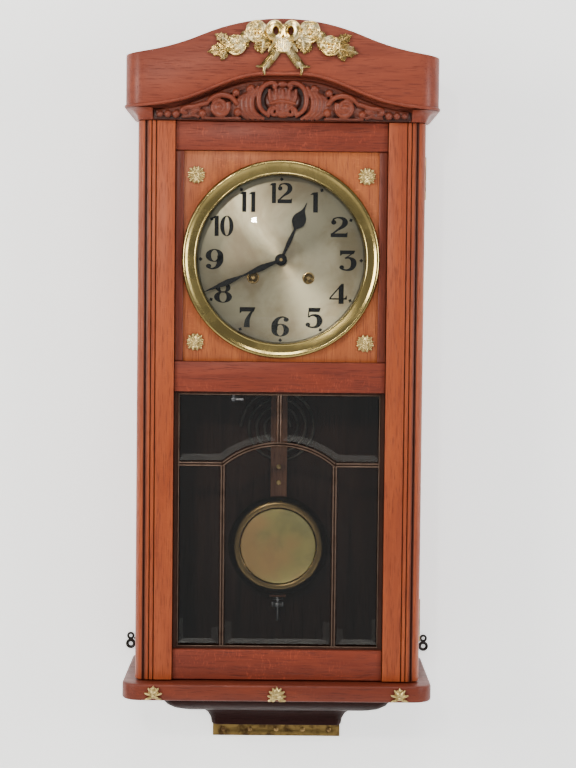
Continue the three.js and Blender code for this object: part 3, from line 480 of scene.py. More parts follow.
def brassMaterial(name, bright, dull, roughness=0.24, patchScale=40.0, dullShare=0.6, brushed=None):
    material, tree, shader, place = newMaterial(name, 1.0, roughness)
    dirt = placeGroup(tree, grime, place, Patch_Scale=patchScale)
    mask = sums(tree, "MULTIPLY", dirt.outputs["Patches"], dullShare)
    colour = blendColour(tree, mask, bright, dull)
    colour = laidOver(tree, dirt.outputs["Specks"], 0.5, colour, (0.12, 0.08, 0.04))
    tree.links.new(colour, shader.inputs["Base Color"])
    rough = sums(tree, "ADD", roughness, sums(tree, "MULTIPLY", dirt.outputs["Patches"], 0.22))
    tree.links.new(rough, shader.inputs["Roughness"])
    lines = noise(tree, stretched(tree, place, brushed or (1, 1, 1)), 1400, 2)
    addBump(tree, shader, lines, 0.00003, 0.5)
    return material


oakOrange = oakMaterial(
    "oakOrange", (0.32, 0.066, 0.018), (0.215, 0.039, 0.0115), (0.085, 0.015, 0.006),
    0.2, grooves=True,
)
oakRed = oakMaterial(
    "oakRed", (0.225, 0.046, 0.021), (0.158, 0.03, 0.0145), (0.07, 0.013, 0.008),
    0.25, "level",
)
oakRail = oakMaterial(
    "oakRail", (0.195, 0.035, 0.0155), (0.125, 0.021, 0.0105), (0.062, 0.011, 0.007),
    0.8, "level",
)
oakBase = oakMaterial(
    "oakBase", (0.15, 0.028, 0.0125), (0.105, 0.019, 0.0095), (0.05, 0.01, 0.006),
    0.25, "level",
)
oakSide = oakMaterial(
    "oakSide", (0.23, 0.047, 0.02), (0.155, 0.03, 0.014), (0.07, 0.013, 0.008),
    0.2, stainAndShadeInside=0.1495,
)
oakPanel = oakMaterial("oakPanel", (0.36, 0.10, 0.029), (0.24, 0.058, 0.018), (0.11, 0.022, 0.01), 0.45)
oakBead = oakMaterial("oakBead", (0.165, 0.034, 0.0165), (0.10, 0.02, 0.0105), (0.045, 0.009, 0.006), 0.1)
oakCarved = oakMaterial(
    "oakCarved", (0.195, 0.042, 0.018), (0.14, 0.027, 0.0125), (0.07, 0.013, 0.008),
    0.1, "level", 0.14, carved=True,
)
# dark stained oak; on the back board its darkness is also painted shade for the inside of the case
oakStainedShaded = oakMaterial(
    "oakStainedShaded", (0.05, 0.021, 0.014), (0.03, 0.0125, 0.0085), (0.014, 0.006, 0.004),
    0.1, coat=0.02, relief=0.15, shine=0.1,
)
oakLowDark = oakMaterial(
    "oakLowDark", (0.024, 0.0074, 0.006), (0.016, 0.005, 0.0042), (0.006, 0.002, 0.0015),
    0.1, "level", 0.0, shine=0.05,
)
oakRod = oakMaterial("oakRod", (0.23, 0.10, 0.05), (0.14, 0.055, 0.028), (0.06, 0.02, 0.01), 0.2)
brassBezel = brassMaterial("brassBezel", (0.38, 0.285, 0.10), (0.145, 0.115, 0.042), 0.15, 9, 0.75)
brassOld = brassMaterial("brassOld", (0.34, 0.22, 0.085), (0.11, 0.06, 0.028), 0.36, 60, 0.9)
brassDull = brassMaterial("brassDull", (0.20, 0.13, 0.042), (0.06, 0.034, 0.016), 0.4, 60, 0.9)
brassCame = brassMaterial("brassCame", (0.15, 0.10, 0.075), (0.075, 0.048, 0.036), 0.36, 50, 0.7)
cameDark = brassMaterial("cameDark", (0.035, 0.022, 0.017), (0.02, 0.013, 0.01), 0.5, 50, 0.7)
brassWork = brassMaterial("brassWork", (0.55, 0.38, 0.15), (0.36, 0.24, 0.10), 0.26, 60, 0.5)
steelBright = brassMaterial("steelBright", (0.50, 0.50, 0.50), (0.28, 0.27, 0.26), 0.28, 60, 0.5)
steelGong = brassMaterial("steelGong", (0.10, 0.085, 0.07), (0.05, 0.042, 0.036), 0.42, 40, 0.7)
ironBlack = brassMaterial("ironBlack", (0.045, 0.04, 0.04), (0.02, 0.018, 0.016), 0.42, 90, 0.8)
# thin glass: see-through, with a mirror that grows towards grazing and a slightly wavy face
def paneMaterial(name, mirrorColour, index):
    material, tree, shader, place = newMaterial(name, 1.0, 0.02)
    smear = noise(tree, place, 22, 4, 0.6, 0.5)
    tree.links.new(blendColour(tree, smear, mirrorColour, (0.8, 0.84, 0.8)), shader.inputs["Base Color"])
    tree.links.new(span(tree, smear, 0.45, 0.75, 0.0, 0.03), shader.inputs["Roughness"])
    edge = addNode(tree, "ShaderNodeFresnel")
    edge.inputs["IOR"].default_value = index
    tree.links.new(edge.outputs["Fac"], shader.inputs["Alpha"])
    addBump(tree, shader, noise(tree, place, 9, 1), 0.0003, 0.1)
    return material


clearGlass = paneMaterial("clearGlass", (0.95, 0.97, 0.95), 1.4)
paneGlass = paneMaterial("paneGlass", (0.78, 0.74, 0.68), 1.55)


# worn gilding: pale where rubbed, with painted shade darkening the hollows
def giltMaterial():
    material, tree, shader, place = newMaterial("giltWorn", 1.0, 0.3)
    dirt = placeGroup(tree, grime, place, Patch_Scale=120.0)
    colour = blendColour(tree, dirt.outputs["Patches"], (0.80, 0.55, 0.17), (0.78, 0.66, 0.38))
    # painted shade: the crest's hollows are darkened by their depth behind the front
    hollow = placeGroup(tree, paintedHollowShade, place, Back=-0.1684, Front=-0.1725)
    colour = laidOver(tree, hollow.outputs["Depth"], 0.9, colour, (0.13, 0.07, 0.017))
    colour = laidOver(tree, dirt.outputs["Specks"], 0.5, colour, (0.16, 0.10, 0.04))
    tree.links.new(colour, shader.inputs["Base Color"])
    rough = sums(tree, "ADD", 0.2, sums(tree, "MULTIPLY", dirt.outputs["Patches"], 0.16))
    tree.links.new(rough, shader.inputs["Roughness"])
    addBump(tree, shader, noise(tree, place, 520, 3), 0.00022, 0.7)
    return material


# silvered dial: turned in fine circles, with yellowed stains and a painted grey shadow towards the rim
def dialMaterial():
    material, tree, shader, place = newMaterial("dialSilvered", 0.92, 0.3)
    polar = addNode(tree, "ShaderNodeUVMap", uv_map="polar")
    rings = noise(tree, stretched(tree, polar.outputs["UV"], (1.2, 520, 1)), 1, 3, 0.6)
    dirt = placeGroup(tree, grime, place, Patch_Scale=16.0)
    colour = blendColour(tree, dirt.outputs["Patches"], (0.61, 0.55, 0.365), (0.46, 0.38, 0.225))
    smoke = span(tree, noise(tree, place, 11, 4, 0.6, 0.8), 0.42, 0.66)
    reach = addNode(tree, "ShaderNodeSeparateXYZ")
    tree.links.new(polar.outputs["UV"], reach.inputs["Vector"])
    # painted shadow: the dial is greyed and darkened towards its rim, under the bezel
    rimPaintedShadow = span(tree, reach.outputs["Y"], 0.86, 0.97)
    colour = laidOver(tree, smoke, 0.7, colour, (0.36, 0.27, 0.165))
    colour = laidOver(tree, rimPaintedShadow, 0.55, colour, (0.36, 0.37, 0.30))
    colour = laidOver(tree, dirt.outputs["Specks"], 0.35, colour, (0.22, 0.18, 0.12))
    tree.links.new(colour, shader.inputs["Base Color"])
    rough = sums(tree, "ADD", 0.27, sums(tree, "MULTIPLY", rings, 0.16))
    tree.links.new(rough, shader.inputs["Roughness"])
    shader.inputs["Anisotropic"].default_value = 0.82
    shader.inputs["Anisotropic Rotation"].default_value = 0.25
    tangent = addNode(tree, "ShaderNodeTangent", direction_type="UV_MAP", uv_map="polar")
    tree.links.new(tangent.outputs["Tangent"], shader.inputs["Tangent"])
    addBump(tree, shader, rings, 0.00002, 0.35)
    return material


def blackMaterial(name, roughness=0.32):
    material, tree, shader, place = newMaterial(name, 0.0, roughness)
    shader.inputs["Specular IOR Level"].default_value = 0.2
    dust = noise(tree, place, 240, 3)
    colour = blendColour(tree, span(tree, dust, 0.4, 0.8), (0.006, 0.006, 0.006), (0.014, 0.013, 0.012))
    tree.links.new(colour, shader.inputs["Base Color"])
    tree.links.new(span(tree, dust, 0.3, 0.8, roughness, roughness + 0.2), shader.inputs["Roughness"])
    return material


# the bob's turned rim is shinier than its brushed disc, and coloured dark brass as a painted reflection of
# the dark room
def bobMaterial(centre, disc):
    material, tree, shader, place = newMaterial("brassBob", 1.0, 0.2)
    shift = addNode(tree, "ShaderNodeMapping")
    shift.inputs["Location"].default_value = (-centre.x, 0, -centre.z)
    shift.inputs["Scale"].default_value = (1, 0, 1)
    tree.links.new(place, shift.inputs["Vector"])
    reach = addNode(tree, "ShaderNodeVectorMath", operation="LENGTH")
    tree.links.new(shift.outputs["Vector"], reach.inputs[0])
    rim = span(tree, reach.outputs["Value"], disc * mm, (disc + 0.6) * mm)
    dirt = placeGroup(tree, grime, place, Patch_Scale=24.0)
    tone = blendColour(tree, dirt.outputs["Patches"], (0.40, 0.34, 0.13), (0.29, 0.265, 0.115))
    warm = span(tree, noise(tree, place, 15, 2), 0.5, 0.66)
    tone = laidOver(tree, warm, 0.6, tone, (0.55, 0.30, 0.13))
    # painted reflection: the rim's dark brass colour stands in for the dark room it reflects
    colour = blendColour(tree, rim, tone, (0.20, 0.135, 0.055))
    tree.links.new(colour, shader.inputs["Base Color"])
    tree.links.new(span(tree, rim, 0, 1, 0.42, 0.27), shader.inputs["Roughness"])
    addBump(tree, shader, noise(tree, stretched(tree, place, (0.2, 1, 1)), 900, 2), 0.00002, 0.4)
    return material


giltWorn = giltMaterial()
dialSilvered = dialMaterial()
blackLacquer = blackMaterial("blackLacquer", 0.28)
blackPaint = blackMaterial("blackPaint", 0.5)
print("materials built")


cameraValues = {
    "lens": 82.7, "away": 1.975, "height": -0.25,
    "pitch": -2.68, "yaw": -0.27, "roll": 0.6,
}


def makeCamera(values):
    data = bpy.data.cameras.new("camera")
    data.lens = values["lens"]
    data.sensor_width = 36
    camera = bpy.data.objects.new("camera", data)
    bpy.context.scene.collection.objects.link(camera)
    turn = Matrix.Rotation(math.radians(values["yaw"]), 4, "Z")
    turn = turn @ Matrix.Rotation(math.radians(90 + values["pitch"]), 4, "X")
    turn = turn @ Matrix.Rotation(math.radians(values["roll"]), 4, "Z")
    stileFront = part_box("stile_left")[0].y
    camera.matrix_world = Matrix.Translation((0, stileFront - values["away"], values["height"])) @ turn
    bpy.context.scene.camera = camera


def addArea(name, place, target, size, power, colour=(1, 1, 1)):
    data = bpy.data.lights.new(name, "AREA")
    data.shape = "RECTANGLE"
    data.size, data.size_y = size
    data.energy = power
    data.color = colour
    light = bpy.data.objects.new(name, data)
    bpy.context.scene.collection.objects.link(light)
    light.location = place
    light.rotation_euler = (Vector(target) - Vector(place)).to_track_quat("-Z", "Y").to_euler()


lightValues = {
    "key": dict(
        place=(-1.75, -1.55, 0.1), target=(0, 0, -0.3), size=(0.7, 0.9),
        power=44, colour=(1, 0.97, 0.92),
    ),
    "fill": dict(
        place=(1.8, -1.5, -0.1), target=(0, 0, -0.35), size=(0.7, 0.9),
        power=30, colour=(0.97, 0.98, 1),
    ),
    "high": dict(
        place=(0.1, -1.5, 1.35), target=(0, 0, -0.2), size=(0.9, 0.4),
        power=20, colour=(1, 0.98, 0.95),
    ),
    "lamp": dict(
        place=(-0.35, -2.3, 0.35), target=(0, 0, -0.3), size=(0.06, 0.06),
        power=9, colour=(1, 0.96, 0.88),
    ),
}
worldStrength = 0.3


def stageMaterial(name, colour, oneSided, glow):
    material, tree, shader, place = newMaterial(name, 0.0, 0.9)
    mottle = noise(tree, place, 3.2, 3)
    paint = blendColour(tree, mottle, colour, tuple(c * 0.965 for c in colour))
    tree.links.new(paint, shader.inputs["Base Color"])
    addBump(tree, shader, noise(tree, place, 160, 3), 0.0004, 0.3)
    tree.links.new(paint, shader.inputs["Emission Color"])
    shader.inputs["Emission Strength"].default_value = glow
    if oneSided:
        clear = addNode(tree, "ShaderNodeBsdfTransparent")
        facing = addNode(tree, "ShaderNodeNewGeometry")
        mix = addNode(tree, "ShaderNodeMixShader")
        tree.links.new(facing.outputs["Backfacing"], mix.inputs["Fac"])
        tree.links.new(shader.outputs["BSDF"], mix.inputs[1])
        tree.links.new(clear.outputs["BSDF"], mix.inputs[2])
        tree.links.new(mix.outputs["Shader"], tree.nodes["Material Output"].inputs["Surface"])
    return material


def makeStage():
    deselectAll()
    bpy.ops.mesh.primitive_plane_add(size=6)
    wall = bpy.context.view_layer.objects.active
    wall.rotation_euler = (math.pi / 2, 0, 0)
    wall.location = (0, wallY, 1.6)
    applyPlace(wall)
    wall.name = "wall"
    wall.data.materials.append(stageMaterial("wallPaint", (0.92, 0.92, 0.905), True, 1.0))
    deselectAll()
    bpy.ops.mesh.primitive_plane_add(size=8)
    floor = bpy.context.view_layer.objects.active
    floor.location = (0, 0, -1.4)
    applyPlace(floor)
    floor.name = "floor"
    floor.data.materials.append(stageMaterial("floorPaint", (0.7, 0.7, 0.69), False, 0.3))
    world = bpy.data.worlds.new("studio")
    world.use_nodes = True
    world.node_tree.nodes["Background"].inputs["Color"].default_value = (0.92, 0.95, 1, 1)
    world.node_tree.nodes["Background"].inputs["Strength"].default_value = worldStrength
    bpy.context.scene.world = world


makeCamera(cameraValues)
for name, values in lightValues.items():
    addArea(name, **values)
makeStage()
print("camera, light and stage set")


caseWork = {
    # node: (rounding in millimetres, body, slot, material)
    "crown_hood": (1.6, "case", "oak_red", oakRed),
    "crown_cove": (0.7, "case", "oak_red", oakRed),
    "crown_frieze": (0.5, "case", "oak_red", oakRed),
    "crown_top_board": (0.8, "case", "oak_dark", oakStainedShaded),
    "base_board": (2.6, "case", "oak_red", oakBase),
    "lower_bracket": (0.8, "case", "oak_dark", oakLowDark),
    "side_left": (0.8, "case", "oak_red", oakSide),
    "side_right": (0.8, "case", "oak_red", oakSide),
    "back_board": (0.6, "case", "oak_dark", oakStainedShaded),
    "stile_left": (0.45, "door", "oak_orange", oakOrange),
    "stile_right": (0.45, "door", "oak_orange", oakOrange),
    "rail_top": (0.8, "door", "oak_red", oakRail),
    "rail_middle": (0.8, "door", "oak_red", oakRail),
    "rail_bottom": (0.8, "door", "oak_red", oakRail),
    "dial_panel": (0.5, "door", "oak_orange", oakPanel),
    "glazing_came": (0.5, "door", "brass", cameDark),
    "wall_strip": (0.3, "case", "brass", brassDull),
    "hanger_plate": (0.3, "case", "brass", brassOld),
    "gong_block": (0.6, "case", "iron", ironBlack),
    "rating_nut": (0.25, "rating_nut", "brass", steelBright),
}


def camel(node):
    first, *rest = node.split("_")
    return first + "".join(word.capitalize() for word in rest)


for node, (rounding, body, slotName, material) in caseWork.items():
    piece = softCopy(node, camel(node), rounding * mm)
    settle(piece, body, material, [node])
print("case joinery rounded over")


lipValues = {"radius": 1.9, "corner": 22.0, "steps": 60}


# the hood's waved lower edge, in millimetres, read from the apron's outline below it
def smoothStep(t):
    return 0.5 - 0.5 * math.cos(math.pi * min(max(t, 0), 1))


def hoodEdge(x):
    top = 36 + hoodLowCorner.z / mm
    return top - 32 * smoothStep((abs(x) - 20) / 118) - 4 * smoothStep((abs(x) - 120) / 45)


def makeLip(values):
    half, front, corner = hoodHalf / mm, hoodFront / mm, values["corner"]
    path = []
    for k in range(8):
        path.append((-half, -k * (abs(front) - corner) / 8))
    for k in range(7):
        a = k / 6 * math.pi / 2
        path.append((-half + corner - corner * math.cos(a), front + corner - corner * math.sin(a)))
    steps = values["steps"]
    for k in range(1, steps):
        path.append((-half + corner + (half - corner) * 2 * k / steps, front))
    for k in range(7):
        a = (6 - k) / 6 * math.pi / 2
        path.append((half - corner + corner * math.cos(a), front + corner - corner * math.sin(a)))
    for k in range(1, 9):
        path.append((half, -(8 - k) * (abs(front) - corner) / 8))
    radius = values["radius"]
    points = [(x, y, hoodEdge(x) + radius, radius) for x, y in path]
    lip = tubePiece("hoodLip", points)
    smoothByAngle(lip, 60)
    return settle(lip, "case", oakRed)


makeLip(lipValues)


apronValues = {"front": -162.0, "voxel": 0.62, "field": -153.2}


def sweep(points, radii, y):
    return tubePiece("stroke", [(x, y, z, r) for (x, z), r in zip(points, radii)])


def mirrored(points, side):
    return [(side * x, z) for x, z in points]


def spiral(cx, cz, outer, inner, turns, start, side):
    points = []
    steps = int(14 * turns)
    for k in range(steps + 1):
        t = k / steps
        a = start + t * turns * math.tau
        r = outer + (inner - outer) * t
        points.append((side * (cx + r * math.cos(a)), cz + r * math.sin(a)))
    return points


def taper(count, first, last, swell=0.0):
    shares = [k / (count - 1) for k in range(count)]
    return [first + (last - first) * t + swell * math.sin(math.pi * t) for t in shares]


def makeApron(values):
    deep = values["front"] + 4
    field = softCopy("carved_apron", "field", 0)
    editAll(field)
    cut = (0, values["field"] * mm, 0)
    bpy.ops.mesh.bisect(plane_co=cut, plane_no=(0, 1, 0), clear_inner=True, use_fill=True)
    bpy.ops.object.mode_set(mode="OBJECT")
    parts = [field]
    for down in (6.5, 10.0):
        edge = [(x, max(hoodEdge(x) - down, -46.5)) for x in range(-140, 141, 10)]
        parts.append(sweep(edge, [2.6] * len(edge), -154.4 if down < 8 else -153.6))
    parts.append(eggPiece(0, -153.4, -27, 20, 6.0, 15.5))
    for k in range(5):
        lobe = -16 + 8 * k
        ray = [(lobe * 0.45, -38), (lobe, -27), (lobe * 0.9, -15)]
        parts.append(sweep(ray, (1.6, 2.7, 1.7), -158.4 + abs(k - 2) * 0.7))
    parts.append(sweep([(-15, -32), (-6, -29), (6, -29), (15, -32)], (1.3, 1.9, 1.9, 1.3), -160))
    parts.append(eggPiece(0, -155, -42, 9, 6, 5))
    parts.append(eggPiece(0, -156, -9.5, 6, 4.5, 4))
    for side in (-1, 1):
        # volute and C-scroll round the shell
        parts.append(sweep(spiral(9.5, -40.5, 6, 1.6, 1.3, -0.4, side), taper(19, 2.2, 2.0), deep))
        loop = [(14, -45), (22, -41), (26.5, -32), (26.5, -22), (23, -13)]
        loop += [(15, -8), (8, -8.5), (7, -12.5), (11, -14)]
        parts.append(sweep(mirrored(loop, side), taper(9, 2.3, 2.0, 0.8), deep))
        # low mounds that the scrolls and leaves stand on
        mounds = [(37, -31, 15, 19), (69, -36, 16, 12), (52, -36, 9, 12)]
        mounds += [(100, -41, 16, 6.5), (84, -40, 8, 8)]
        for mx, mz, wide, high in mounds:
            parts.append(eggPiece(side * mx, -152.6, mz, wide, 4.4, high))
        # ribbed acanthus
        for k in range(4):
            foot, hip = 20 + 5.6 * k, 31 + 5.0 * k
            rib = [(foot, -48.5), (hip, -43), (hip + 3.5, -33), (hip + 2, -22 - k)]
            rib.append((hip - 5, -12.5 - 3.1 * k))
            parts.append(sweep(mirrored(rib, side), taper(5, 1.9, 2.5, 0.9), deep + 1.2 + 0.5 * k))
        parts.append(eggPiece(side * 36, -156, -14.5, 5.5, 4, 3.6, side * 35))
        # rosette scroll
        parts.append(sweep(spiral(69.5, -35.5, 10.6, 3.2, 1.75, 2.6, side), taper(25, 2.7, 2.1), deep + 0.6))
        parts.append(eggPiece(side * 69.5, -157, -35.5, 4.2, 4.4, 4.2))
        stem = [(50, -33), (54, -26), (62, -22.5), (71, -22), (79, -25.5), (84, -32)]
        parts.append(sweep(mirrored(stem, side), taper(6, 2.6, 2.0, 0.9), deep + 0.6))
        low = [(46, -48), (55, -47.4), (63, -48), (80, -48), (90, -47.5)]
        parts.append(sweep(mirrored(low, side), taper(5, 1.6, 1.6), deep + 2))
        # beads and outer leaf scroll
        for x, z, r in ((51.5, -19.5, 4.3), (49.5, -41, 4.6), (88.5, -42.8, 4.4)):
            parts.append(eggPiece(side * x, -156.5, z, r, r, r))
        for x, r in ((118, 3.9), (127, 3.6), (135.5, 3.0)):
            parts.append(eggPiece(side * x, -156, -43.6, r * 1.15, r, r * 1.15))
        leaf = [(82, -31), (90, -32.5), (98, -36), (106, -35.5), (112, -38.5), (110, -43), (105, -42)]
        parts.append(sweep(mirrored(leaf, side), taper(7, 2.6, 1.9, 0.8), deep + 1.2))
        tip = [(92, -47), (98, -44), (104, -46.5), (112, -46.5)]
        parts.append(sweep(mirrored(tip, side), taper(4, 2.0, 1.6), deep + 2))
        parts.append(eggPiece(side * 97, -155.5, -40.5, 7.5, 3.6, 3.2, side * 25))
    carving = joinPieces(parts, "carvedApron")
    voxelRemesh(carving, values["voxel"] * mm, 3)
    return settle(carving, "case", oakCarved, ["carved_apron"])


makeApron(apronValues)
print("crown carved")


crestValues = {"back": -166.3, "voxel": 0.34}


def rose(x, z, size, spin):
    back = crestValues["back"]
    parts = [eggPiece(x, back - 1.5, z, size * 0.92, 2.8, size * 0.92)]
    for count, reach, width, proud in ((5, 0.64, 0.52, 3.0), (4, 0.36, 0.36, 5.0)):
        for k in range(count):
            a = spin + reach + k * math.tau / count
            px, pz = x + size * reach * math.cos(a), z + size * reach * math.sin(a)
            turn = -math.degrees(a)
            petal = eggPiece(px, back - proud, pz, size * width * 0.6, 2.3, size * width, turn, 0.0, 18)
            parts.append(petal)
            lip = []
            far = size * (reach + width * 0.42)
            for j in range(5):
                b = a + (j - 2) * 0.5
                lip.append((x + far * math.cos(b), z + far * math.sin(b)))
            parts.append(sweep(lip, (0.4, 0.8, 1.0, 0.8, 0.4), back - proud - 1.5))
    parts.append(eggPiece(x, back - 6.4, z, size * 0.17, 1.9, size * 0.17))
    return parts


# a broad leaf with pointed lobes, a mid rib and side veins
def leaf(x, z, length, angle, spread=0.36):
    back = crestValues["back"]
    a = math.radians(angle)
    ahead, across = (math.cos(a), math.sin(a)), (-math.sin(a), math.cos(a))

    def onLeaf(u, v=0):
        return u * ahead[0] + v * across[0], u * ahead[1] + v * across[1]

    lobes = ((0.02, 0.3), (0.2, 0.95), (0.27, 0.66), (0.47, 1.0), (0.53, 0.62), (0.72, 0.74), (0.78, 0.4))
    outline = []
    for side in (1, -1):
        half = []
        for share, reach in lobes:
            half.append((share, side * reach * spread))
        outline += half if side > 0 else half[::-1]
        if side > 0:
            outline.append((1.0, 0))
    points = [onLeaf(length * u, length * v) for u, v in outline]
    parts = [flatPiece("leaf", [points], (x * mm, z * mm), (back - 0.2) * mm, (back - 3.0) * mm, 0.7 * mm)]
    tip = (x + length * 0.9 * ahead[0], z + length * 0.9 * ahead[1])
    rib = [(x, z), (x + length * 0.5 * ahead[0], z + length * 0.5 * ahead[1]), tip]
    parts.append(sweep(rib, (1.1, 0.9, 0.4), back - 3.6))
    for share in (0.25, 0.5):
        root = (x + length * (share - 0.1) * ahead[0], z + length * (share - 0.1) * ahead[1])
        for side in (1, -1):
            u, v = length * (share + 0.06), side * length * spread * 0.75
            end = (x + u * ahead[0] + v * across[0], z + u * ahead[1] + v * across[1])
            between = ((root[0] + end[0]) / 2, (root[1] + end[1]) / 2)
            parts.append(sweep([root, between, end], (0.7, 0.6, 0.35), back - 3.3))
    return parts


def makeCrest(values):
    back = values["back"]
    parts = []
    for side in (-1, 1):
        # bow loops with an open eye, over the knot
        loop = []
        for k in range(14):
            a = k / 14 * math.tau
            wide = 4.2 + 0.6 * math.cos(a)
            across, up = math.cos(a), math.sin(a)
            loop.append((side * (8.8 + 6.6 * across), back - 3.6 - across, 47 + 8.0 * up, wide))
        parts.append(tubePiece("loop", loop, closed=True))
        parts += rose(side * 29, 46.0, 13.8, 0.4 * side)
        parts += rose(side * 52, 31.0, 12.6, 1.1 * side)
        leaves = (
            (58, 34, 20, 62), (60, 28, 24, 101), (62, 25, 13, 150), (40, 38, 15, 160),
            (22, 36, 15, 175), (30, 34, 13, 205), (14, 34, 15, 112),
        )
        for x, z, length, turn in leaves:
            parts += leaf(side * x, z, length, 90 - side * turn)
        parts.append(eggPiece(side * 41, back - 2, 40.5, 7, 2.8, 7, side * 30))
        parts.append(eggPiece(side * 20, back - 1.6, 37, 8, 2.4, 7, side * 30))
        # wide ribbon tail with a forked end
        tail = [(0, 35), (3.5, 31), (8, 24), (14, 15.5), (20, 8.5)]
        for offset, lift in ((-3.6, 0.6), (-1.8, 0.0), (0, -0.4), (1.8, 0.0), (3.6, 0.6)):
            strip = [(side * (x + offset * 0.78), z + offset * 0.62) for x, z in tail]
            parts.append(sweep(strip, (1.6, 1.7, 1.7, 1.7, 1.4), back - 2.4 + lift))
        for fx, fz in ((30, 8.5), (20, -1.5)):
            fork = [(side * 18, 12.5), (side * 22, 7), (side * fx, fz)]
            parts.append(sweep(fork, (2.8, 2.7, 0.9), back - 2.0))
        parts.append(sweep([(side * 8, 36), (side * 13, 31), (side * 16, 24)], (2.2, 3.2, 1.2), back - 2.6))
    # gathered knot
    for k in range(6):
        x = -5.5 + 2.2 * k
        fold = [(x * 1.5, 40), (x, 32), (x * 1.2, 24)]
        parts.append(sweep(fold, (1.5, 1.9, 1.2), back - 4.8 + abs(k - 2.5) * 0.5))
    parts.append(eggPiece(0, back - 2, 33, 11, 3, 10.5))
    parts.append(eggPiece(0, back - 2.5, 50, 4, 2.6, 5))
    crest = joinPieces(parts, "crestOrnament")
    voxelRemesh(crest, values["voxel"] * mm, 0)
    return settle(crest, "case", giltWorn, ["crest_ornament"])


makeCrest(crestValues)
print("crest modelled")


shellValues = {"voxel": 0.35}


def makeShell(node, petals, volutes):
    low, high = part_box(node)
    centre, size = (low + high) / 2 / mm, (high - low) / mm
    back = high.y / mm
    parts = []
    footZ = centre.z - size.z * 0.22
    reach = size.z * 0.5
    for k in range(petals):
        a = math.radians(-20 + 220 * k / (petals - 1))
        px, pz = centre.x + reach * 0.62 * math.cos(a), footZ + reach * 0.8 * math.sin(a)
        long = reach * 0.62
        parts.append(eggPiece(px, back - 1.6, pz, long, 1.7, size.x * 0.1, -math.degrees(a), 0.0, 14))
    parts.append(eggPiece(centre.x, back - 2.4, footZ, size.x * 0.16, 2.2, size.z * 0.14, 0, 0, 14))
    if volutes:
        for side in (-1, 1):
            curl = spiral(size.x * 0.24, centre.z - size.z * 0.36, 2.9, 1.0, 1.1, 0.6, side)
            parts.append(sweep([(centre.x + x, z) for x, z in curl], taper(len(curl), 0.9, 0.9), back - 1.8))
    parts.append(eggPiece(centre.x, back - 0.8, centre.z, size.x * 0.36, 1.0, size.z * 0.38))
    shell = joinPieces(parts, camel(node))
    voxelRemesh(shell, shellValues["voxel"] * mm, 1)
    settle(shell, "case", giltSmall, [node])


# the small castings sit on other planes than the crest, so their gilding is a plain worn brass without the
# crest's painted hollow shade
giltSmall = brassMaterial("giltSmall", (0.58, 0.44, 0.18), (0.22, 0.15, 0.055), 0.3, 300, 0.85)
makeShell("base_shell_left", 7, False)
makeShell("base_shell_centre", 9, True)
makeShell("base_shell_right", 7, False)

rosetteValues = {"radius": 10.6, "petals": 12, "offX": 95.5, "offZ": 93.5, "back": panelLow.y / mm + 0.1}


def makeRosette(name, x, z, values):
    back, radius, count = values["back"], values["radius"], values["petals"]
    parts = [eggPiece(x, back - 0.8, z, radius * 0.86, 1.3, radius * 0.86, 0, 0, 24)]
    for k in range(count):
        a = (k + 0.5) * math.tau / count
        corner = 1.0 + 0.07 * math.cos(4 * a + math.pi)
        px, pz = x + radius * 0.62 * corner * math.cos(a), z + radius * 0.62 * corner * math.sin(a)
        parts.append(eggPiece(px, back - 1.8, pz, radius * 0.38, 1.5, radius * 0.15, -math.degrees(a), 0, 14))
        qx, qz = x + radius * 0.34 * math.cos(a), z + radius * 0.34 * math.sin(a)
        parts.append(eggPiece(qx, back - 2.4, qz, radius * 0.2, 1.2, radius * 0.07, -math.degrees(a), 0, 12))
    parts.append(eggPiece(x, back - 2.7, z, radius * 0.15, 1.4, radius * 0.15, 0, 0, 14))
    rosette = joinPieces(parts, name)
    voxelRemesh(rosette, 0.34 * mm, 0)
    settle(rosette, "door", giltSmall)


centreX, centreZ = dialCentre.x / mm, dialCentre.z / mm
corners = {"UpperLeft": (-1, 1), "UpperRight": (1, 1), "LowerLeft": (-1, -1), "LowerRight": (1, -1)}
for name, (sx, sz) in corners.items():
    place = (centreX + sx * rosetteValues["offX"], centreZ + sz * rosetteValues["offZ"])
    makeRosette("rosette" + name, *place, rosetteValues)
print("small castings modelled")


beadValues = {"wide": 9.3, "proud": 2.4}


def makePanelBead(name, side, values):
    outer = panelHigh.x
    inner = outer - values["wide"] * mm
    front = panelLow.y
    low = (min(side * outer, side * inner), front - values["proud"] * mm, panelLow.z)
    high = (max(side * outer, side * inner), front - 0.1 * mm, panelHigh.z)
    strip = blockPiece(name, low, high)
    makeActive(strip)
    bpy.ops.object.mode_set(mode="EDIT")
    bpy.ops.mesh.select_all(action="DESELECT")
    bpy.ops.object.mode_set(mode="OBJECT")
    for face in strip.data.polygons:
        face.select = face.normal.y < -0.9
    bpy.ops.object.mode_set(mode="EDIT")
    bpy.ops.mesh.select_mode(type="FACE")
    bpy.ops.mesh.inset(thickness=1.2 * mm, depth=0.5 * mm)
    bpy.ops.object.mode_set(mode="OBJECT")
    addBevel(strip, 0.5 * mm, 2)
    smoothByAngle(strip)
    settle(strip, "door", oakBead)


makePanelBead("panelBeadLeft", -1, beadValues)
makePanelBead("panelBeadRight", 1, beadValues)


bezelValues = {
    "outer": (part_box("bezel")[1].x - dialCentre.x) / mm,
    "sight": 95.0,
    "back": panelLow.y / mm - 0.3,
}


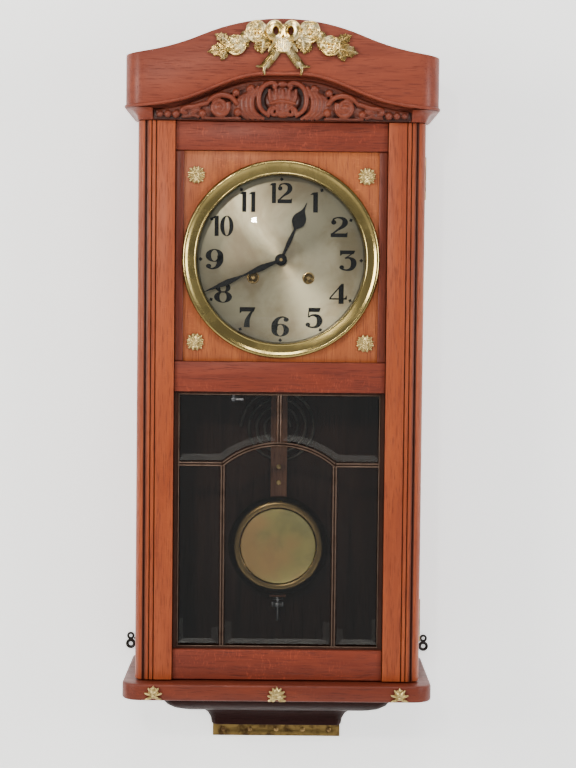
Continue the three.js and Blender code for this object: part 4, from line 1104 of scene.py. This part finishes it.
def makeBezel(values):
    outer, sight, back = values["outer"], values["sight"], values["back"]
    # the inner sleeve runs back to the dial's edge
    sleeve = dialFace / mm - 1.3
    profile = [(sight - 0.2, sleeve), (sight + 0.8, sleeve), (sight + 1, back)]
    profile += [(outer - 0.4, back), (outer, back - 0.5), (outer, back - 3.4)]
    for k in range(9):
        a = k / 8 * math.pi * 0.62
        profile.append((outer - 3.1 + 3.1 * math.cos(a), back - 3.6 - 3.6 * math.sin(a)))
    for k in range(1, 9):
        t = k / 8
        profile.append((outer - 4.6 - (outer - 5.2 - sight - 1.4) * t, back - 6.4 + 2.9 * t ** 0.75))
    profile += [(sight + 0.9, back - 4.1), (sight + 0.3, back - 4.0), (sight, back - 3.3)]
    bezel = spunPiece("bezel", profile, (dialCentre.x, dialCentre.z), 180)
    settle(bezel, "door", brassBezel, ["bezel"])


def makeDialGlass():
    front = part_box("dial_glass")[0].y / mm
    sight, rise = 94.6, 9.6
    radius = (sight ** 2 + rise ** 2) / (2 * rise)
    edge = front + rise

    def dome(r, lift):
        return edge + lift - (math.sqrt(radius ** 2 - r ** 2) - (radius - rise))

    outer = [(sight * k / 14, dome(sight * k / 14, 0)) for k in range(15)]
    inner = [(sight * k / 14 * 0.985, dome(sight * k / 14 * 0.985, 1.6)) for k in range(14, -1, -1)]
    profile = outer + inner
    domed = spunPiece("dialGlass", profile, (dialCentre.x, dialCentre.z), 96, closed=False)
    settle(domed, "door", clearGlass, ["dial_glass"])


makeBezel(bezelValues)
makeDialGlass()

cameValues = {
    "apart": 1.55, "ridge": 0.85, "beadSide": 5.2, "beadEnd": 2.8,
    "barX": 63.3, "barZ": -434.2, "rise": 23.0,
}


# bright ridges on both edges of every came, and one round the whole light
def makeCameRidges(values):
    low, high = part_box("glazing_came")
    half, bottom, top = high.x / mm, low.z / mm, high.z / mm
    y, off, wire = low.y / mm + 0.1, values["apart"], values["ridge"]
    barX, barZ, rise = values["barX"], values["barZ"], values["rise"]
    edge, end = half - values["beadSide"], values["beadEnd"]
    radius = (barX ** 2 + rise ** 2) / (2 * rise)
    lines = []
    for shift in (-off, off):
        arc = radius + shift
        reach = math.asin(min(barX / arc, 1))
        apex = barZ + rise - radius + arc
        lines.append([(shift, top - end), (shift, (top + apex) / 2), (shift, barZ + rise + off)])
        angles = [reach * (k / 10 - 1) for k in range(21)]
        lines.append([(arc * math.sin(a), barZ + rise - radius + arc * math.cos(a)) for a in angles])
        for side in (-1, 1):
            x, z = side * (barX + shift), barZ + shift
            lines.append([(x, barZ - off), (x, (barZ + bottom) / 2), (x, bottom + end)])
            lines.append([(side * (barX + off), z), (side * (barX + edge) / 2, z), (side * edge, z)])
    parts = [tubePiece("ridge", [(x, y, z, wire) for x, z in line], order=2) for line in lines]
    frameLine = [(-edge, bottom + end), (edge, bottom + end), (edge, top - end), (-edge, top - end)]
    parts.append(tubePiece("ridge", [(x, y, z, wire) for x, z in frameLine], closed=True, order=2))
    ridges = joinPieces(parts, "cameRidges")
    smoothByAngle(ridges, 50)
    settle(ridges, "door", brassCame)


# dark stop between the wood and the outermost ridge
def makeGlazingStop(values):
    low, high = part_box("glazing_came")
    side, end = values["beadSide"], values["beadEnd"]

    def outline(inX, inZ):
        left, right = low.x / mm + inX, high.x / mm - inX
        bottom, top = low.z / mm + inZ, high.z / mm - inZ
        return [(left, bottom), (right, bottom), (right, top), (left, top)]

    stop = flatPiece("glazingStop", [outline(0, 0), outline(side, end)], (0, 0),
                     low.y + 0.9 * mm, low.y - 0.15 * mm, 0.2 * mm)
    settle(stop, "door", oakStainedShaded)


makeCameRidges(cameValues)
makeGlazingStop(cameValues)
for node in ("pane_upper_left", "pane_upper_right", "pane_left", "pane_centre", "pane_right"):
    pane = softCopy(node, camel(node), 0)
    smoothByAngle(pane, 1)
    settle(pane, "door", paneGlass, [node])
print("glazing made")


dialValues = {
    "radius": 99.0, "numeralRadius": 75.5, "dotRadius": 91.2,
    "windX": 31.4, "windDrop": 20.4, "hole": 5.4,
    "singleWide": 1.16, "roundWide": 1.32, "tall": 1.04,
}


def ringDisc(x, z, rx, rz, count=40):
    angles = [k / count * math.tau for k in range(count)]
    return [(x + rx * math.cos(a), z + rz * math.sin(a)) for a in angles]


# a pen stroke: centre-line points (x, z, half width), smoothed
def penStroke(points, steps=8):
    fine = []
    last = len(points) - 1
    for i in range(last):
        before, a, b, after = points[max(i - 1, 0)], points[i], points[i + 1], points[min(i + 2, last)]
        for k in range(steps):
            t = k / steps
            point = []
            for p, q, r, s in zip(before, a, b, after):
                bend = (2 * p - 5 * q + 4 * r - s) * t * t + (3 * q - p - 3 * r + s) * t ** 3
                point.append(0.5 * (2 * q + (r - p) * t + bend))
            fine.append(tuple(point))
    fine.append(points[-1])
    left, right = [], []
    for i, (x, z, half) in enumerate(fine):
        x0, z0, _ = fine[max(i - 1, 0)]
        x1, z1, _ = fine[min(i + 1, len(fine) - 1)]
        run = math.hypot(x1 - x0, z1 - z0) or 1
        nx, nz = -(z1 - z0) / run, (x1 - x0) / run
        left.append((x + nx * half, z + nz * half))
        right.append((x - nx * half, z - nz * half))
    return left + right[::-1]


def oval(x, z, outerX, outerZ, innerX, innerZ):
    return [ringDisc(x, z, outerX, outerZ), ringDisc(x, z, innerX, innerZ)]


# each figure is a list of shapes; each shape is a list of loops, 22 high about its own centre
def figure(digit):
    if digit == "0":
        return [oval(0, 0, 7.6, 11.2, 2.9, 10.2)]
    if digit == "1":
        stem = [(-1.6, -11), (3.0, -11), (3.0, 11), (1.2, 11), (-1.6, 8.6)]
        return [[stem], [[(-4.6, 8.2), (-1.4, 8.2), (1.4, 11), (-2.0, 10.6)]]]
    if digit == "2":
        bowl = [(-6.0, 5.2, 1.0), (-5.0, 8.8, 0.9), (-0.6, 10.3, 0.8), (4.4, 8.8, 1.9), (6.0, 5.0, 2.8),
                (4.0, 1.0, 2.0), (-1.0, -2.8, 1.1), (-6.6, -7.6, 0.8)]
        foot = [(-8, -11), (8.2, -11), (8.6, -5.6), (8.2, -5.6), (6.6, -6.8), (-8, -6.8)]
        return [[penStroke(bowl)], [ringDisc(-5.1, 5.2, 2.5, 2.5, 20)], [foot]]
    if digit == "3":
        top = [(-7.4, 11), (7.4, 11), (7.4, 10.2), (5.8, 7.0), (-5.0, 7.0), (-6.6, 5.2), (-7.4, 5.2)]
        bowl = [(-2.6, 2.4, 0.6), (2.0, 2.8, 1.1), (5.6, 0.0, 2.5), (6.0, -4.6, 2.7), (3.6, -9.0, 1.8),
                (-1.0, -10.4, 0.9), (-5.6, -9.2, 1.0)]
        return [[top], [penStroke([(6.6, 9.8, 0.6), (2.0, 5.6, 0.6), (-2.6, 2.4, 0.6)])], [penStroke(bowl)],
                [ringDisc(-5.6, -7.4, 2.3, 2.3, 20)]]
    if digit == "4":
        stem = [(0.4, -11), (5.4, -11), (5.4, 11), (3.2, 11), (0.4, 7.6)]
        bar = [(-8.6, -6.4), (8.6, -6.4), (8.6, -1.8), (8.0, -1.8), (6.8, -4.2), (5.4, -4.8), (-8.6, -4.8)]
        return [[stem], [bar], [penStroke([(3.8, 10.4, 0.7), (-2.4, 2.6, 0.7), (-8.2, -5.0, 0.7)])]]
    if digit == "5":
        flag = [(-5.0, 11), (6.8, 11), (6.8, 10), (5.6, 6.4), (-3.8, 6.4), (-5.0, 7.2)]
        bowl = [(-5.0, 0.6, 0.8), (-1.0, 3.0, 1.0), (4.2, 1.4, 2.2), (6.0, -3.6, 2.8), (3.8, -8.8, 1.9),
                (-1.0, -10.4, 0.9), (-5.4, -9.2, 1.0)]
        return [[flag], [penStroke([(-4.4, 9.0, 0.6), (-4.8, 5, 0.6), (-5.1, 0.4, 0.6)])], [penStroke(bowl)],
                [ringDisc(-5.6, -7.4, 2.3, 2.3, 20)]]
    if digit in "69":
        sign = 1 if digit == "6" else -1
        arm = [(-5.0, -4, 2.6), (-4.8, 2.6, 2.6), (-2.2, 8.2, 1.6), (2.0, 10.3, 0.8), (5.2, 9.0, 0.9)]
        ball = ringDisc(sign * 5.0, sign * 7.4, 2.3, 2.3, 20)
        return [[penStroke([(sign * x, sign * z, w) for x, z, w in arm])],
                oval(0, sign * -4.1, 7.6, 7.0, 2.9, 6.0), [ball]]
    if digit == "7":
        bar = [(-7.4, 11), (7.8, 11), (7.8, 9.6), (6.4, 6.2), (-5.4, 6.2), (-6.8, 4.2), (-7.4, 4.2)]
        return [[bar], [penStroke([(6.6, 9.2, 0.7), (2.8, 3.0, 1.4), (0.2, -3.6, 2.4), (-0.4, -11, 3.0)])]]
    return [oval(0, 5.5, 6.4, 5.6, 2.5, 4.8), oval(0, -4.8, 7.7, 6.3, 3.0, 5.4)]


def makeNumerals(values):
    parts = []
    back, front = dialFace + 0.05 * mm, dialFace - 0.13 * mm
    spacing = {"10": (-8.6, 3.6), "11": (-5.2, 5.0), "12": (-9.4, 3.4)}
    for hour in range(1, 13):
        a = math.radians(90 - hour * 30)
        cx = dialCentre.x + values["numeralRadius"] * math.cos(a) * mm
        cz = dialCentre.z + values["numeralRadius"] * math.sin(a) * mm
        text = str(hour)
        offsets = spacing.get(text, (0,))
        wide = values["singleWide"] if len(text) == 1 else 1.0
        if text in ("6", "8", "9"):
            wide = values["roundWide"]
        for digit, offset in zip(text, offsets):
            for loops in figure(digit):
                scaled = [[(x * wide, z * values["tall"]) for x, z in loop] for loop in loops]
                parts.append(flatPiece("figure", scaled, (cx + offset * mm, cz), back, front))
        reach = values["dotRadius"]
        dx, dz = dialCentre.x / mm + reach * math.cos(a), dialCentre.z / mm + reach * math.sin(a)
        dot = [(2.3 * math.cos(a + k * math.pi / 2), 2.3 * math.sin(a + k * math.pi / 2)) for k in range(4)]
        parts.append(flatPiece("dot", [dot], (dx * mm, dz * mm), back, front))
    numerals = joinPieces(parts, "dialNumerals")
    settle(numerals, "case", blackPaint)


def makeDialPlate(values):
    face = dialFace / mm
    radius = values["radius"]
    profile = [(4.3, face + 1.2), (4.3, face)]
    for r in (12, 30, 50, 70, 84):
        profile.append((r, face))
    # two fine turned grooves near the rim, then the rolled edge
    for groove in (94.2, 96.2):
        profile += [(groove - 0.5, face), (groove, face + 0.35), (groove + 0.5, face)]
    profile += [(radius - 1, face), (radius, face + 0.6), (radius, face + 1.2)]
    centre = (dialCentre.x, dialCentre.z)
    plate = spunPiece("dialPlate", profile, centre, 144)
    cutters = []
    for side in (-1, 1):
        x, z = dialCentre.x / mm + side * values["windX"], dialCentre.z / mm - values["windDrop"]
        hole = ringDisc(x, z, values["hole"], values["hole"])
        cutters.append(flatPiece("cutter", [hole], (0, 0), dialFace + 0.01, dialFace - 0.01))
    cutter = joinPieces(cutters, "cutter")
    holes = plate.modifiers.new("holes", "BOOLEAN")
    holes.operation = "DIFFERENCE"
    holes.object = cutter
    applyModifiers(plate)
    bpy.data.objects.remove(cutter)
    mesh = plate.data
    layer = mesh.uv_layers.new(name="polar")
    for face in mesh.polygons:
        middleAngle = math.atan2(face.center.z - dialCentre.z, face.center.x - dialCentre.x)
        for loop in face.loop_indices:
            co = mesh.vertices[mesh.loops[loop].vertex_index].co
            dx, dz = co.x - dialCentre.x, co.z - dialCentre.z
            angle = math.atan2(dz, dx)
            if angle - middleAngle > math.pi:
                angle -= math.tau
            if middleAngle - angle > math.pi:
                angle += math.tau
            layer.data[loop].uv = (angle / math.tau, math.hypot(dx, dz) / 0.1)
    smoothByAngle(plate, 20)
    settle(plate, "case", dialSilvered, ["dial"])


def makeWindingCollars(values):
    face = dialFace / mm
    hole = values["hole"]
    for name, side in (("windingCollarLeft", -1), ("windingCollarRight", 1)):
        x, z = dialCentre.x + side * values["windX"] * mm, dialCentre.z - values["windDrop"] * mm
        steps = ((-0.3, 1.4), (-0.3, -0.5), (0.2, -1.0), (0.9, -0.9), (1.5, -0.1), (0, -0.05), (0, 1.4))
        profile = [(hole + out, face + back) for out, back in steps]
        collar = spunPiece(name, profile, (x, z), 48)
        settle(collar, "case", brassWork)


makeDialPlate(dialValues)
makeNumerals(dialValues)
makeWindingCollars(dialValues)
print("dial made")


handValues = {"hourAngle": 24.0, "minuteAngle": 246.7, "hubRadius": 6.8}


def handOutline(halfWidths, steps=10):
    stroke = [(0, z, half) for z, half in halfWidths]
    return penStroke(stroke, steps)


def makeHand(name, halfWidths, degrees, node, body, hub, boss):
    low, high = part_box(node)
    blade = flatPiece(name, [handOutline(halfWidths)], (0, 0), high.y, low.y, 0.32 * mm)
    turn = Matrix.Rotation(math.radians(degrees), 4, "Y")
    blade.data.transform(Matrix.Translation((dialCentre.x, 0, dialCentre.z)) @ turn)
    front = low.y / mm
    back = high.y / mm
    profile = [(boss, back), (hub, back), (hub, front - 0.3), (hub - 0.8, front - 1.0), (boss, front - 1.1)]
    boss = spunPiece(name + "Boss", profile, (dialCentre.x, dialCentre.z), 56)
    hand = joinPieces([blade, boss], name)
    smoothByAngle(hand, 35)
    settle(hand, body, blackLacquer, [node])


# distance from the centre and half width, along each hand
hourHalf = [
    (4.5, 1.5), (12.5, 1.8), (23, 2.3), (32, 1.8), (37.5, 1.4), (41, 4.2), (45, 7.2),
    (49.5, 7.8), (54, 6.7), (58, 3.9), (61.5, 1.8), (65.5, 0.9), (70.5, 0.35),
]
minuteHalf = [
    (3.2, 1.4), (14, 2.5), (25, 3.5), (36, 2.2), (46, 1.1), (57, 2.3), (67, 3.1), (79, 1.8), (94, 0.35),
]
makeHand("hourHand", hourHalf, handValues["hourAngle"], "hour_hand", "hour", handValues["hubRadius"], 3.6)
makeHand("minuteHand", minuteHalf, handValues["minuteAngle"], "minute_hand", "centre", 5.6, 1.9)
print("hands made")


bobValues = {"outer": 59.0, "disc": 44.4}


def makeBob(values):
    back = bobHigh.y / mm
    outer, disc = values["outer"], values["disc"]
    centre = ((bobLow.x + bobHigh.x) / 2, (bobLow.z + bobHigh.z) / 2)
    face = ((0, 5.9), (20, 6.1), (disc - 1.2, 6.0), (disc - 0.3, 6.3), (disc, 7.0))
    profile = [(r, back - proud) for r, proud in face]
    for k in range(9):
        t = k / 8
        r = disc + 0.6 + (outer - disc - 1.4) * t
        profile.append((r, back - 7.4 - 1.5 * math.sin(math.pi * min(t * 0.9 + 0.1, 1)) + 4.6 * t ** 3))
    profile += [(outer, back - 1.8), (outer - 0.8, back), (0, back)]
    bob = spunPiece("pendulumBob", profile, centre, 144, closed=False)
    settle(bob, "pendulum", bobMaterial(middle("pendulum_bob"), disc), ["pendulum_bob"])


def makeScrew(name, x, z, y, radius, body, slotName, material, slotTurn=20.0):
    profile = [(0, y + 0.3), (radius, y + 0.3), (radius, y - 0.25)]
    for k in range(1, 6):
        a = k / 5 * math.pi / 2
        profile.append((radius * math.cos(a), y - 0.25 - radius * 0.34 * math.sin(a)))
    head = spunPiece(name, profile, (x * mm, z * mm), 32, closed=False)
    wide, tall = radius * 1.2 * mm, radius * 0.13 * mm
    slit = blockPiece("slit", (-wide, (y - 3) * mm, -tall), (wide, (y - radius * 0.12) * mm, tall))
    turn = Matrix.Rotation(math.radians(slotTurn), 4, "Y")
    slit.data.transform(Matrix.Translation((x * mm, 0, z * mm)) @ turn)
    groove = head.modifiers.new("slot", "BOOLEAN")
    groove.operation = "DIFFERENCE"
    groove.object = slit
    applyModifiers(head)
    bpy.data.objects.remove(slit)
    smoothByAngle(head, 35)
    settle(head, body, material)


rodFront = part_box("pendulum_rod")[0].y / mm
rodValues = {"top": -163.0, "low": -602.0, "thread": 1.6, "spring": 3.0, "washer": 6.6}


def makeRod(values):
    low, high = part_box("pendulum_rod")
    y = (low.y + high.y) / 2
    top, bottom = values["top"] * mm, values["low"] * mm
    rod = blockPiece("pendulumRod", (low.x, low.y, bottom), (high.x, high.y, top))
    addBevel(rod, 0.7 * mm, 2)
    smoothByAngle(rod)
    settle(rod, "pendulum", oakRod, ["pendulum_rod"])
    thread = values["thread"]
    stem = [(0, y / mm, low.z / mm, thread), (0, y / mm, values["low"] + 2, thread)]
    parts = [tubePiece("thread", stem, order=2)]
    for k in range(9):
        turn = low.z / mm + 1.5 + k * 1.6
        around = ringDisc(0, y / mm, thread * 0.95, thread * 0.95, 10)
        loop = [(x, away, turn, 0.28) for x, away in around]
        parts.append(tubePiece("turn", loop, closed=True, resolution=1))
    washer, washerTop = values["washer"], values["low"] - 1.9
    rim = [(0, y / mm, washerTop, washer), (0, y / mm, washerTop - 1.1, washer)]
    parts.append(tubePiece("washer", rim, order=2, resolution=8))
    spring = values["spring"] * mm
    parts.append(blockPiece("spring", (-spring, y - 0.4 * mm, top - 1 * mm), (spring, y + 0.4 * mm, high.z)))
    ends = joinPieces(parts, "rodEnds")
    smoothByAngle(ends, 40)
    settle(ends, "pendulum", steelBright, ["pendulum_rod"])


makeRod(rodValues)
makeBob(bobValues)
rodScrewValues = {"heights": {"A": -446, "B": -465}, "radius": 3.0, "slotTurns": {"A": 35, "B": 95}}
for letter, z in rodScrewValues["heights"].items():
    place = (0, z, rodFront, rodScrewValues["radius"])
    turn = rodScrewValues["slotTurns"][letter]
    makeScrew("rodScrew" + letter, *place, "pendulum", "brass", brassWork, turn)

stripScrewValues = {"count": 5, "firstX": -64, "apart": 32, "up": 8, "radius": 2.9}
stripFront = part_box("wall_strip")[0] / mm
for index in range(stripScrewValues["count"]):
    x = stripScrewValues["firstX"] + stripScrewValues["apart"] * index
    place = (x, stripFront.z + stripScrewValues["up"], stripFront.y, stripScrewValues["radius"])
    makeScrew(f"stripScrew{index + 1}", *place, "case", "brass", brassOld, 15 + 47 * index)

gongValues = {"outer": 46.2, "inner": 13.0, "turns": 3.5, "wire": 1.7}


def makeGong(values):
    centre = middle("gong_block") / mm
    y = middle("gong_coil").y / mm
    points = []
    steps = int(values["turns"] * 20)
    for k in range(steps + 1):
        t = k / steps
        a = t * values["turns"] * math.tau
        r = values["inner"] + (values["outer"] - values["inner"]) * t
        points.append((centre.x + r * math.cos(a), y, centre.z + r * math.sin(a), values["wire"]))
    coil = tubePiece("gongCoil", points)
    smoothByAngle(coil, 60)
    settle(coil, "case", steelGong, ["gong_coil"])


makeGong(gongValues)
print("pendulum and gong made")


steadyValues = {"wire": 1.9, "eye": 4.3, "curl": 3.3}


def makeSteady(node, side, values):
    low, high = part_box(node)
    caseX = (low.x if side > 0 else high.x) / mm
    tipX = (high.x if side > 0 else low.x) / mm
    eyeX, eyeZ, y = tipX - side * 6, low.z / mm + 8, -2.1
    parts = []
    wire = values["wire"]
    for offset, radius, thick in ((0, values["eye"], wire), (9.6, values["curl"], wire * 0.75)):
        loop = [(x, y, z, thick) for x, z in ringDisc(eyeX, eyeZ + offset, radius, radius, 14)]
        parts.append(tubePiece("loop", loop, closed=True))
    start = (caseX + side * 0.8 - eyeX)
    arms = (
        ((start, 7), (start * 0.75, 3), (start * 0.5, 4.5), (start * 0.3, 7.5)),
        ((start, -5), (start * 0.7, -1.5), (start * 0.42, 0), (start * 0.3, 1)),
    )
    for arm in arms:
        parts.append(tubePiece("arm", [(eyeX + x, y, eyeZ + z, wire * 0.8) for x, z in arm]))
    foot = blockPiece("foot", (min(caseX, caseX + side * 1.8) * mm, -18 * mm, (eyeZ - 7.5) * mm),
                      (max(caseX, caseX + side * 1.8) * mm, -0.3 * mm, (eyeZ + 11.5) * mm))
    addBevel(foot, 0.5 * mm, 2)
    parts.append(foot)
    iron = joinPieces(parts, camel(node))
    smoothByAngle(iron, 50)
    settle(iron, "case", ironBlack, [node])


makeSteady("steady_iron_left", -1, steadyValues)
makeSteady("steady_iron_right", 1, steadyValues)
print("irons made")


nodeFinish = {
    brassWork: [
        "back_plate", "front_plate", "suspension_cock", "time_barrel", "centre_wheel", "third_wheel",
        "escape_wheel", "minute_wheel", "hour_wheel", "strike_barrel", "pin_wheel",
    ],
    brassOld: [
        "hinge_upper_fixed", "hinge_lower_fixed", "hinge_upper_moving", "hinge_lower_moving", "door_catch",
    ],
    steelBright: ["anchor", "hammer"],
    ironBlack: ["movement_frame"],
}
for material, names in nodeFinish.items():
    for name in names:
        nodes[name].data.materials.clear()
        nodes[name].data.materials.append(material)
        smoothByAngle(nodes[name], 25)
print("finishes set")

deselectAll()
